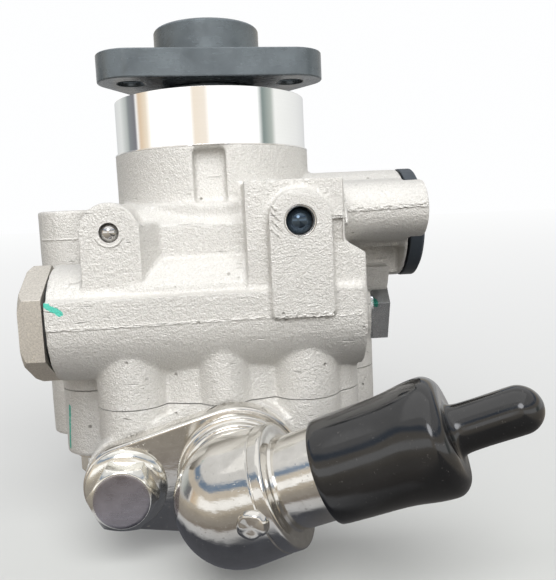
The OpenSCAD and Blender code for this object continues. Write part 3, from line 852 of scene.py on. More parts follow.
@dataclass(frozen=True)
class TurnedFinish(Finish):
    """Light alloy cut bright on a lathe about the shaft."""

    pitch_scale: float = 3000.0
    line_depth: float = 0.003

    def dress(self, graph: Graph, shader: bpy.types.Node, place_of: bpy.types.NodeSocket) -> None:
        """Lays tool lines and a little handling haze over the bright metal."""
        given = {"Vector": place_of, "Pitch Scale": self.pitch_scale}
        lines = use_group(graph, EFFECTS.lines, given)
        given = {"Vector": place_of, "Cloud Scale": 90.0, "Speck Scale": 1500.0}
        cloud = use_group(graph, EFFECTS.cloud, given)
        value = graph.plus(graph.times(lines["Line"], 0.6), graph.times(cloud["Cloud"], 0.4))
        graph.feed(shader.inputs["Base Color"], self.tone(graph, value, 0.3, 0.7))
        haze = graph.plus(lines["Band"], graph.times(cloud["Speck"], 0.3))
        graph.feed(shader.inputs["Roughness"], graph.span(haze, 0.3, 0.75, *self.roughness))
        self.bump(graph, shader, lines["Line"], self.line_depth)


@dataclass(frozen=True)
class SteelFinish(Finish):
    """Oxidised, plated or plain steel with clouds, specks and worn edges."""

    cloud_scale: float = 120.0
    speck_scale: float = 1700.0
    speck: Colour = (0.7, 0.7, 0.7)
    speck_share: float = 0.25
    worn: Colour = (0.6, 0.6, 0.6)
    wear: float = 0.4
    edge_reach: float = 0.12
    wave: float = 0.01
    turned: float = 0.0
    pitch_scale: float = 2200.0
    paint: Colour = (0.08, 0.45, 0.35)
    strokes: tuple[Stroke, ...] = ()

    def dress(self, graph: Graph, shader: bpy.types.Node, place_of: bpy.types.NodeSocket) -> None:
        """Lays clouds, specks and worn edges over the steel."""
        given = {
            "Vector": place_of,
            "Cloud Scale": self.cloud_scale,
            "Speck Scale": self.speck_scale,
        }
        cloud = use_group(graph, EFFECTS.cloud, given)
        edge = use_group(graph, EFFECTS.edges, {"Vector": place_of, "Reach": self.edge_reach})
        colour = self.tone(graph, cloud["Cloud"], *CLOUD_TONES)
        colour = graph.mix(graph.times(edge["Edge"], self.wear), colour, self.worn)
        colour = graph.mix(graph.times(cloud["Speck"], self.speck_share), colour, self.speck)
        for stroke in self.strokes:
            mask = stroke.mask(graph, place_of)
            colour = graph.mix(mask, colour, self.paint)
        haze = graph.plus(graph.times(cloud["Streak"], 0.6), graph.times(cloud["Cloud"], 0.4))
        rough = graph.span(haze, *STREAK_SPAN, *self.roughness)
        graph.feed(shader.inputs["Base Color"], colour)
        graph.feed(shader.inputs["Roughness"], rough)
        height = graph.plus(cloud["Streak"], graph.times(cloud["Speck"], 0.5))
        if self.turned:
            given = {"Vector": place_of, "Pitch Scale": self.pitch_scale}
            lines = use_group(graph, EFFECTS.lines, given)
            height = graph.plus(height, graph.times(lines["Line"], self.turned / self.wave))
        self.bump(graph, shader, height, self.wave)


@dataclass(frozen=True)
class GrainySteelFinish(Finish):
    """Forged or shot blasted steel with a coarse sparkling grain."""

    grain_scale: float = 2600.0
    grain_depth: float = 0.07
    pits: float = 0.4
    glint: Colour = (0.8, 0.76, 0.68)

    def dress(self, graph: Graph, shader: bpy.types.Node, place_of: bpy.types.NodeSocket) -> None:
        """Lays sparkling grain over the steel."""
        given = {"Vector": place_of, "Grain Scale": self.grain_scale, "Pits": self.pits}
        grain = use_group(graph, EFFECTS.grain, given)
        colour = self.tone(graph, grain["Shade"], *GRAIN_TONES)
        colour = graph.mix(graph.times(grain["Sparkle"], 0.6), colour, self.glint)
        graph.feed(shader.inputs["Base Color"], colour)
        glossy, dull = self.roughness
        rough = graph.span(grain["Sparkle"], 0.0, 1.0, dull, glossy)
        graph.feed(shader.inputs["Roughness"], rough)
        self.bump(graph, shader, grain["Height"], self.grain_depth)


@dataclass(frozen=True)
class PolymerFinish(Finish):
    """Moulded plastic, dipped vinyl or seal rubber."""

    coat: float = 0.0
    specular: float = 0.5
    ripple_scale: float = 160.0
    ripple_depth: float = 0.03
    speck_scale: float = 1400.0
    dust: Colour = (0.16, 0.15, 0.14)
    dust_share: float = 0.35

    def dress(self, graph: Graph, shader: bpy.types.Node, place_of: bpy.types.NodeSocket) -> None:
        """Lays soft ripples, gloss changes and a little dust over the polymer."""
        given = {
            "Vector": place_of,
            "Cloud Scale": self.ripple_scale,
            "Speck Scale": self.speck_scale,
        }
        cloud = use_group(graph, EFFECTS.cloud, given)
        colour = self.tone(graph, cloud["Cloud"], *RIPPLE_TONES)
        colour = graph.mix(graph.times(cloud["Speck"], self.dust_share), colour, self.dust)
        graph.feed(shader.inputs["Base Color"], colour)
        rough = graph.span(cloud["Streak"], *STREAK_SPAN, *self.roughness)
        graph.feed(shader.inputs["Roughness"], rough)
        shader.inputs["Coat Weight"].default_value = self.coat
        shader.inputs["Specular IOR Level"].default_value = self.specular
        self.bump(graph, shader, cloud["Cloud"], self.ripple_depth)


PAINT_ON_GALLERY = Stroke((-36.5, -40.6, -57.6), (-33.6, -40.6, -59.4), 0.7)
PAINT_ON_STRIP = Stroke((-39.6, -14.9, -86.6), (-40.5, -13.8, -97.6), 0.5)
PAINT_BY_RELIEF = Stroke((40.8, -8.4, -63.4), (41.6, -8.8, -65.6), 0.9)

CAST = CastFinish(
    "blasted_alloy", Slot.CAST, (0.745, 0.732, 0.702), (0.63, 0.618, 0.59), 0.6, (0.34, 0.54),
    strokes=(PAINT_ON_GALLERY, PAINT_ON_STRIP),
)
TURNED = TurnedFinish(
    "turned_alloy", Slot.CAST, (0.995, 0.992, 0.985), (0.95, 0.945, 0.935), 1.0, (0.03, 0.06),
)
TURNED_RIM = TurnedFinish(
    "turned_rim", Slot.CAST, (0.88, 0.87, 0.85), (0.72, 0.71, 0.69), 1.0, (0.18, 0.3),
)
OXIDE = SteelFinish(
    "black_oxide_steel", Slot.OXIDE, (0.132, 0.154, 0.168), (0.088, 0.104, 0.115), 0.45,
    (0.18, 0.34), speck=(0.35, 0.36, 0.37), speck_share=0.22, worn=(0.34, 0.36, 0.37), wear=0.5,
    wave=0.012, turned=0.02,
)
PLATED = SteelFinish(
    "zinc_plated_steel", Slot.PLATED, (0.78, 0.76, 0.72), (0.64, 0.62, 0.58), 1.0, (0.06, 0.16),
    cloud_scale=150.0, speck=(0.35, 0.33, 0.3), speck_share=0.2, worn=(0.86, 0.86, 0.85),
    wear=0.5, wave=0.03,
)
BOLT = SteelFinish(
    "zinc_bolt_steel", Slot.PLATED, (0.92, 0.91, 0.865), (0.79, 0.775, 0.72), 1.0, (0.08, 0.20),
    cloud_scale=220.0, speck=(0.3, 0.28, 0.25), speck_share=0.3, worn=(0.82, 0.82, 0.8),
    wear=0.6, wave=0.02,
)
BOLT_FACE = SteelFinish(
    "zinc_bolt_face", Slot.PLATED, (0.46, 0.435, 0.475), (0.36, 0.34, 0.37), 1.0, (0.22, 0.36),
    cloud_scale=260.0, speck=(0.25, 0.24, 0.24), speck_share=0.3, worn=(0.85, 0.85, 0.83),
    wear=0.7, wave=0.02,
)
PLUG = GrainySteelFinish(
    "grainy_plug_steel", Slot.PLUG, (0.70, 0.665, 0.61), (0.50, 0.475, 0.43), 0.8, (0.26, 0.44),
)
RELIEF = SteelFinish(
    "relief_steel", Slot.PLUG, (0.66, 0.68, 0.70), (0.54, 0.56, 0.58), 0.9, (0.20, 0.32),
    wear=0.5, worn=(0.75, 0.75, 0.75), strokes=(PAINT_BY_RELIEF,),
)
INNER = SteelFinish(
    "ground_inner_steel", Slot.INNER, (0.56, 0.56, 0.57), (0.46, 0.46, 0.47), 1.0, (0.18, 0.30),
    wave=0.004,
)
BRIGHT_BALL = SteelFinish(
    "bright_ball_steel", Slot.BRIGHT, (0.70, 0.69, 0.68), (0.64, 0.63, 0.62), 1.0, (0.03, 0.07),
    wave=0.002, wear=0.0,
)
DARK_BALL = SteelFinish(
    "dark_ball_steel", Slot.DARK, (0.10, 0.135, 0.175), (0.075, 0.105, 0.14), 0.9, (0.06, 0.12),
    speck_share=0.05, wear=0.0, wave=0.002,
)
BRONZE = SteelFinish(
    "bush_bronze", Slot.BRONZE, (0.52, 0.33, 0.15), (0.42, 0.26, 0.11), 1.0, (0.28, 0.42),
    wave=0.006,
)
RUBBER = PolymerFinish(
    "seal_rubber", Slot.RUBBER, (0.020, 0.020, 0.021), (0.012, 0.012, 0.013), 0.0, (0.5, 0.65),
)
PLASTIC = PolymerFinish(
    "navy_black_plastic", Slot.PLASTIC, (0.036, 0.045, 0.055), (0.026, 0.033, 0.042), 0.0,
    (0.42, 0.56), ripple_depth=0.015,
)
VINYL = PolymerFinish(
    "dipped_black_vinyl", Slot.VINYL, (0.010, 0.010, 0.0105), (0.006, 0.006, 0.0065), 0.0,
    (0.08, 0.17), coat=0.2, specular=0.7, ripple_scale=95.0, ripple_depth=0.05, dust_share=0.2,
)
PLATE_ALLOY = SteelFinish(
    "plate_alloy_skin", Slot.PLATE, (0.60, 0.60, 0.58), (0.50, 0.50, 0.48), 0.9, (0.3, 0.45),
)


def dress(
    piece: bpy.types.Object, finish: Finish, body: Body, replaces: Sequence[str] = ()
) -> None:
    """Gives a piece its finish, its body and the nodes it stands for.

    Args:
        piece: The finished mesh.
        finish: Its finish.
        body: The body it rides on.
        replaces: CAD nodes that it stands for.
    """
    piece.data.materials.clear()
    piece.data.materials.append(finish.material())
    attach(piece, body.value)
    if replaces:
        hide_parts(*replaces)
    LOG.info("%s: %d faces, %s", piece.name, len(piece.data.polygons), finish.name)


@dataclass(frozen=True)
class Bore:
    """A machined hole, by its mouth, direction, radius and depth in millimetres."""

    mouth: Point
    axis: Point
    radius: float
    depth: float


@dataclass
class CastSkin:
    """Turns a CAD casting into a skin with rounded cast edges and crisp machined holes.

    The parting face is pulled out by overrun while edges are rounded, and cut back to leave gap.
    Holes are closed by fillers that are wider by margin, and are drilled again from lead outside.
    """

    node: str
    name: str
    side: int
    voxel: float = 0.5
    blend_steps: int = 4
    cloud: float = 5.5
    swell: float = 0.10
    face_budget: int = 170000
    overrun: float = 3.0
    gap: float = 0.12
    margin: float = 0.4
    lead: float = 1.5
    far: float = 120.0

    def build(
        self,
        bores: Sequence[Bore],
        metal: Sequence[bpy.types.Object],
        trims: Sequence[bpy.types.Object] = (),
    ) -> bpy.types.Object:
        """Builds the skin, with side 1 above the parting face and -1 below it.

        Args:
            bores: Machined holes, which stay crisp, as the parting face does.
            metal: Small lands and slopes that are added before the edges are rounded.
            trims: Blocks that are taken off before the edges are rounded.

        Returns:
            The skin as one closed mesh.
        """
        piece = copy_node(self.node, self.name)
        mesh = begin_edit(piece)
        pick_faces(mesh, lambda c, n: abs(c.z - PARTING) < 0.02 and n.z * self.side < -0.9)
        bpy.ops.transform.translate(value=(0, 0, -self.side * self.overrun * MM))
        bpy.ops.object.mode_set(mode="OBJECT")
        for tool in trims:
            cut(piece, tool)
        filler = f"{self.name}_filler"
        fillers = [rod(filler, b.mouth, b.axis, b.radius + self.margin, b.depth) for b in bores]
        weld(piece, [*fillers, *metal])
        modify(piece, "REMESH", mode="VOXEL", voxel_size=self.voxel * MM, adaptivity=0.0)
        modify(piece, "SMOOTH", factor=0.5, iterations=self.blend_steps)
        ruffle(piece, f"{self.name}_swell", self.cloud, self.swell, 0.95)
        triangles = 2 * len(piece.data.polygons)
        modify(piece, "DECIMATE", ratio=min(1.0, self.face_budget / triangles))
        cut(piece, self.parting_tool())
        for bore in bores:
            start = Vector(bore.mouth) - Vector(bore.axis) * self.lead
            cut(piece, rod("bore_tool", start, bore.axis, bore.radius, bore.depth + self.lead))
        return piece

    def parting_tool(self) -> bpy.types.Object:
        """Makes the block that faces the casting at the parting face."""
        low, high = PARTING - self.far, PARTING + self.gap
        if self.side < 0:
            low, high = PARTING - self.gap, PARTING + self.far
        return block("parting_tool", (-self.far, -self.far, low), (self.far, self.far, high))


@dataclass
class Housing:
    """Front housing: blasted casting, turned spigot, ball seats, flash lines and threads."""

    shoulder: float = -23.3
    spigot_cut: float = 0.35
    small_ball: Point = (-22.6, -38.0, -42.8)
    large_ball: Point = (18.7, -41.6, -42.1)
    small_ball_r: float = 2.15
    large_ball_r: float = 3.05
    gallery_y: float = -40.5
    gallery_z: float = -63.3
    valve_mouth: tuple[float, float] = (-37.0, -27.0)
    lug_r: float = 8.95
    lug_top: float = -36.6
    lug_line: float = -44.4
    port: Point = (48.6, -4.5, -43.9)
    port_r: float = 7.25
    clamp_face: float = 49.8
    clamp_hole: tuple[float, float] = (-26.0, -40.4)
    clamp_hole_r: float = 2.5
    web_front: float = -14.0

    def bores(self) -> list[Bore]:
        """Lists the ball seats, the port, the clamp and lug holes, and the valve's stepped bore."""
        left, right, back, down = (-1, 0, 0), (1, 0, 0), (0, 1, 0), (0, 0, -1)
        valve = (*self.valve_mouth, self.gallery_z)
        return [
            Bore(self.small_ball, back, 2.17, 6.0),
            Bore(self.large_ball, back, 3.55, 0.8),
            Bore(self.large_ball, back, 3.07, 8.0),
            Bore((self.clamp_face, *self.clamp_hole), left, self.clamp_hole_r, 14.0),
            Bore(self.port, left, 7.85, 8.0),
            Bore(self.port, left, self.port_r, 16.0),
            *(Bore((x, y, self.lug_top), down, 4.2, 45.0) for x, y in LUGS),
            Bore(valve, right, 9.92, 12.5),
            Bore(valve, right, 7.52, 55.0),
        ]

    def build(self) -> None:
        """Builds and dresses every piece of the housing."""
        self.build_skin()
        self.build_spigot()
        self.build_flash()
        self.build_ball_seats()
        self.build_threads()

    def build_skin(self) -> None:
        """Builds the cast skin up to the turned shoulder."""
        casting = CastSkin("front_housing", "housing_skin", 1)
        skin = casting.build(self.bores(), self.added_metal(), self.trims())
        cut(skin, self.above_shoulder())
        cut(skin, block("web_tool", (25.95, -39.6, -47.2), (28.3, -38.35, -41.9)))
        smooth(skin, 38.0)
        dress(skin, CAST, Body.HOUSING, ["front_housing"])

    def above_shoulder(self) -> bpy.types.Object:
        """Makes the block that holds all that is turned, from the shoulder up."""
        edge = self.shoulder - self.spigot_cut
        return block("spigot_tool", (-60, -60, edge), (60, 60, 20))

    def added_metal(self) -> list[bpy.types.Object]:
        """Makes the seat's land, the left pad's slope, the block's sloped top and the web."""
        forms = (
            (
                "pad_slope",
                (-16.4, -38.0, -59.3),
                (-12.2, -30.0, -41.0),
                (0, 4.9, 0),
                (-12.2, -38.0, None),
            ),
            (
                "block_top",
                (27.0, -39.0, -52.0),
                (29.4, -22.0, -46.6),
                (0, 0, -0.5),
                (29.4, None, -46.6),
            ),
            (
                "web",
                (33.0, self.web_front, -61.5),
                (44.6, -9.7, -55.0),
                (0, 3.6, 0),
                (None, self.web_front, -61.5),
            ),
            (
                "block_slope",
                (29.2, -39.0, -52.0),
                (33.4, -22.0, -47.1),
                (0, 0, -2.5),
                (33.4, None, -47.1),
            ),
        )
        land = block("seat_land", (-2.5, -38.1, -85.0), (3.5, -35.5, -80.9))
        return [land, *(slanted(*form) for form in forms)]

    def trims(self) -> list[bpy.types.Object]:
        """Makes the tools that thin the web under the outlet and face the clamp boss."""
        return [
            block("web_trim", (33.6, -19.7, -62.4), (47.6, -9.5, -49.6)),
            block("clamp_trim", (self.clamp_face, -33.6, -48.0), (53.0, -18.4, -33.0)),
        ]

    def build_spigot(self) -> None:
        """Builds the turned spigot and shoulder with their small chamfers."""
        spigot = copy_node("front_housing", "housing_spigot")
        cut(spigot, self.above_shoulder(), Cut.KEEP)
        flatten_facets(spigot)
        soften(spigot, 0.25, 2, 40.0)
        dress(spigot, TURNED, Body.HOUSING)

    def ridge(
        self, name: str, start: Point, end: Point, width: float, proud: float, seed: int
    ) -> bpy.types.Object:
        """Models a ragged flash line between two points of a front face.

        Args:
            name: Name of the piece.
            start: First end, on the face.
            end: Last end, on the face.
            width: Width of the line up the face.
            proud: How far it stands off the face.
            seed: Seed of its raggedness.

        Returns:
            The ridge.
        """
        a, b = Vector(start), Vector(end)
        length = (b - a).length
        piece = block(name, (0, -proud, -width / 2), (length, proud, width / 2))
        begin_edit(piece)
        bpy.ops.mesh.subdivide(number_cuts=3)
        mesh = bmesh.from_edit_mesh(piece.data)
        pick_edges(mesh, lambda p, q: abs(p.x - q.x) > 0.5)
        bpy.ops.mesh.subdivide(number_cuts=max(4, int(length * 0.55)))
        bpy.ops.mesh.select_all(action="SELECT")
        ragged = width * 0.34 * MM
        bpy.ops.transform.vertex_random(offset=ragged, uniform=0.5, normal=0.3, seed=seed)
        end_edit()
        modify(piece, "SUBSURF", levels=1, render_levels=1)
        turn = Vector((1, 0, 0)).rotation_difference((b - a).normalized()).to_matrix().to_4x4()
        piece.data.transform(Matrix.Translation(metres(start)) @ turn)
        smooth(piece, 60.0)
        return piece

    def build_flash(self) -> None:
        """Builds the flash lines that the die leaves on the gallery, block and pad."""
        y, z = self.gallery_y + 0.1, self.gallery_z + 0.2
        lines = (
            ("gallery_flash", (-36.6, y, z), (11.4, y, z + 0.35), 0.55, 0.26, 3),
            ("block_flash", (26.0, y + 0.15, z - 0.1), (32.2, y + 0.15, z), 0.6, 0.3, 5),
            ("pad_tear", (12.2, -41.35, z + 0.55), (25.2, -41.35, z + 0.6), 0.95, 0.2, 8),
            ("web_tear", (26.2, -38.9, -41.5), (28.6, -38.9, -41.4), 0.8, 0.3, 11),
            ("corner_tear", (29.2, -37.8, -43.4), (29.4, -33.2, -36.4), 0.9, 0.55, 13),
            ("clamp_flash", (30.4, -32.75, -40.3), (49.2, -32.75, -39.7), 0.9, 0.28, 19),
            ("file_mark_1", (12.4, -41.62, -38.4), (13.6, -41.62, -39.7), 0.32, 0.2, 21),
            ("file_mark_2", (12.4, -41.62, -39.9), (14.3, -41.62, -41.9), 0.34, 0.2, 22),
            ("file_mark_3", (12.4, -41.62, -41.6), (14.6, -41.62, -43.9), 0.30, 0.2, 23),
            ("file_mark_4", (12.4, -41.62, -43.6), (14.2, -41.62, -45.4), 0.34, 0.2, 24),
        )
        for name, start, end, width, proud, seed in lines:
            dress(self.ridge(name, start, end, width, proud, seed), CAST, Body.HOUSING)
        self.build_lug_flash()

    def build_lug_flash(self) -> None:
        """Builds the parting line across the front of the left lug column."""
        deselect()
        spot = (self.lug_r * MM, 0, 0)
        bpy.ops.mesh.primitive_circle_add(
            vertices=12, radius=0.3 * MM, fill_type="NGON", location=spot
        )
        line = bpy.context.object
        line.name = "lug_flash"
        place(line, spun(90, "X"))
        begin_edit(line)
        bpy.ops.transform.resize(value=(0.6, 1.0, 1.0), center_override=spot)
        bpy.ops.mesh.spin(steps=30, angle=math.radians(84), center=(0, 0, 0), axis=(0, 0, 1))
        bpy.ops.mesh.select_all(action="SELECT")
        bpy.ops.transform.vertex_random(offset=0.07 * MM, uniform=0.5, normal=0.2, seed=17)
        end_edit()
        middle = metres((*LUGS[0], self.lug_line))
        line.data.transform(Matrix.Translation(middle) @ spun(-62, "Z"))
        smooth(line, 60.0)
        dress(line, CAST, Body.HOUSING)

    def build_ball_seats(self) -> None:
        """Builds both pressed balls, the staked lip and the turned rim round them."""
        x, y, z = self.small_ball
        ball = self.ball("small_ball", (x, y + 1.8, z), self.small_ball_r)
        dress(ball, BRIGHT_BALL, Body.HOUSING, ["small_ball_plug"])
        x, y, z = self.large_ball
        ball = self.ball("large_ball", (x, y + self.large_ball_r + 0.5, z), self.large_ball_r)
        dress(ball, DARK_BALL, Body.HOUSING, ["large_ball_plug"])
        section = [(3.08, 0.75), (3.08, 0.35), (3.16, 0.2), (3.34, 0.16), (3.5, 0.24), (3.53, 0.75)]
        rim = lathe("large_ball_rim", section, along((0, 1, 0), self.large_ball), closed=True)
        dress(rim, TURNED_RIM, Body.HOUSING)
        self.build_stake()

    def ball(self, name: str, centre: Point, radius: float) -> bpy.types.Object:
        """Models a pressed ball.

        Args:
            name: Name of the piece.
            centre: Middle of the ball.
            radius: Its radius.

        Returns:
            The ball.
        """
        piece = lathe(name, arc((0, 0), radius, -90, 90, 32), along((0, -1, 0), centre), 72)
        smooth(piece, 60.0)
        return piece

    def build_stake(self) -> None:
        """Builds the crescent lip that a staking tool raised under the small ball."""
        deselect()
        x, y, z = self.small_ball
        bpy.ops.mesh.primitive_circle_add(
            vertices=14, radius=0.34 * MM, fill_type="NGON", location=(3.0 * MM, 0, 0)
        )
        lip = bpy.context.object
        lip.name = "small_ball_stake"
        place(lip, spun(90, "X"))
        begin_edit(lip)
        bpy.ops.mesh.spin(steps=36, angle=math.radians(140), center=(0, 0, 0), axis=(0, 0, 1))
        end_edit()
        middle = metres((x, y + 0.12, z))
        lip.data.transform(Matrix.Translation(middle) @ spun(90, "X") @ spun(-20, "Z"))
        begin_edit(lip)
        end_edit()
        smooth(lip, 50.0)
        dress(lip, CAST, Body.HOUSING)

    def build_threads(self) -> None:
        """Builds the tapped turns in the outlet port and the clamp hole."""
        for name, mouth, radius, pitch, turns in (
            ("outlet_thread", (40.4, *self.port[1:]), self.port_r, 1.5, 5),
            ("clamp_thread", (self.clamp_face - 0.4, *self.clamp_hole), self.clamp_hole_r, 1.0, 11),
        ):
            piece = thread(name, along((-1, 0, 0), mouth), radius, pitch, turns)
            dress(piece, TURNED, Body.HOUSING)


def thread(name: str, where: Matrix, radius: float, pitch: float, turns: int) -> bpy.types.Object:
    """Models the tapped turns of a hole as a ribbed sleeve.

    Args:
        name: Name of the piece.
        where: Place of the hole's mouth, with Z into the hole.
        radius: Radius of the drilled hole.
        pitch: Distance between crests.
        turns: Number of crests.

    Returns:
        The sleeve.
    """
    depth = 0.42 * pitch
    root, crest, outside = radius - 0.01, radius - depth, radius + 0.15
    section: Section = []
    for i in range(turns):
        section += [(root, i * pitch), (crest, (i + 0.42) * pitch), (crest, (i + 0.58) * pitch)]
    end = turns * pitch
    section += [(root, end), (outside, end), (outside, 0)]
    piece = lathe(name, section, where, 64, True)
    smooth(piece, 30.0)
    return piece


@dataclass
class RearCover:
    """Rear cover casting with its lug passages and cover bolts."""

    low: float = -99.3
    passage_r: float = 5.0
    passage_depth: float = 16.5

    def build(self) -> None:
        """Builds and dresses the cover and its bolts."""
        up = (0, 0, 1)
        bores = [Bore((x, y, self.low), up, self.passage_r, self.passage_depth) for x, y in LUGS]
        land = block("cover_land", (-24.0, -37.9, -91.0), (-17.0, -35.5, -86.8))
        skin = CastSkin("rear_cover", "cover_skin", -1, face_budget=130000).build(bores, [land])
        smooth(skin, 38.0)
        dress(skin, CAST, Body.HOUSING, ["rear_cover"])
        bolts = copy_node("cover_bolts", "cover_bolt_set")
        flatten_facets(bolts)
        soften(bolts, 0.3, 2)
        dress(bolts, BOLT, Body.HOUSING, ["cover_bolts"])


@dataclass
class DriveFlange:
    """Triangular drive flange with its pilot, tapped holes and shaft end."""

    hub_top: float = 8.7
    hub_r: float = 13.8
    hole_pitch: float = 23.0
    hole_r: float = 3.4
    turn: float = 5.0

    def build(self) -> None:
        """Builds and dresses the flange, its threads and the shaft end."""
        flange = copy_node("drive_flange", "drive_flange_body")
        flatten_facets(flange)
        mesh = begin_edit(flange)

        def on_rim(point: Vector) -> bool:
            """Tells whether a corner lies on the hub's top rim."""
            high = abs(point.z - self.hub_top) < NEAR
            return high and math.hypot(point.x, point.y) > self.hub_r - 0.3

        if pick_edges(mesh, lambda p, q: on_rim(p) and on_rim(q)):
            bpy.ops.mesh.bevel(offset=0.8 * MM, segments=2, affect="EDGES", clamp_overlap=True)
        bpy.ops.object.mode_set(mode="OBJECT")
        soften(flange, 0.4, 3, 40.0)
        dress(flange, OXIDE, Body.ROTATING, ["drive_flange"])
        self.build_threads()
        self.build_shaft_end()

    def build_threads(self) -> None:
        """Builds the three tapped pulley holes."""
        for i, angle in enumerate((-150, -30, 90), 1):
            a = math.radians(angle + self.turn)
            mouth = (self.hole_pitch * math.cos(a), self.hole_pitch * math.sin(a), -0.5)
            piece = thread(f"flange_thread_{i}", along((0, 0, -1), mouth), self.hole_r, 1.0, 6)
            dress(piece, OXIDE, Body.ROTATING)

    def build_shaft_end(self) -> None:
        """Builds the shaft with a chamfered end and a centre drilling."""
        shaft = copy_node("drive_shaft", "drive_shaft_body")
        flatten_facets(shaft)
        mesh = begin_edit(shaft)
        top = max(v.co.z for v in mesh.verts) / MM
        pick_faces(mesh, lambda c, n: abs(c.z - top) < 0.02 and n.z > 0.9)
        bpy.ops.mesh.inset(thickness=0.5 * MM, depth=0.0)
        bpy.ops.mesh.inset(thickness=4.6 * MM, depth=0.0)
        bpy.ops.mesh.inset(thickness=1.4 * MM, depth=-1.2 * MM)
        bpy.ops.mesh.inset(thickness=0.2 * MM, depth=-1.6 * MM)
        bpy.ops.object.mode_set(mode="OBJECT")
        soften(shaft, 0.2, 2, 40.0)
        dress(shaft, INNER, Body.ROTATING, ["drive_shaft"])


@dataclass
class PlugSet:
    """Hexagon plugs of the housing: valve plug, relief valve and the transit plug."""

    def build(self) -> None:
        """Builds and dresses the plugs."""
        for node, rounding, angle, finish, body in (
            ("valve_plug", 0.35, 20.0, PLUG, Body.HOUSING),
            ("relief_valve", 0.6, 32.0, RELIEF, Body.HOUSING),
            ("outlet_plug", 0.4, 32.0, PLASTIC, Body.PLUG),
        ):
            piece = copy_node(node, f"{node}_body")
            flatten_facets(piece)
            soften(piece, rounding, 3, angle)
            dress(piece, finish, body, [node])


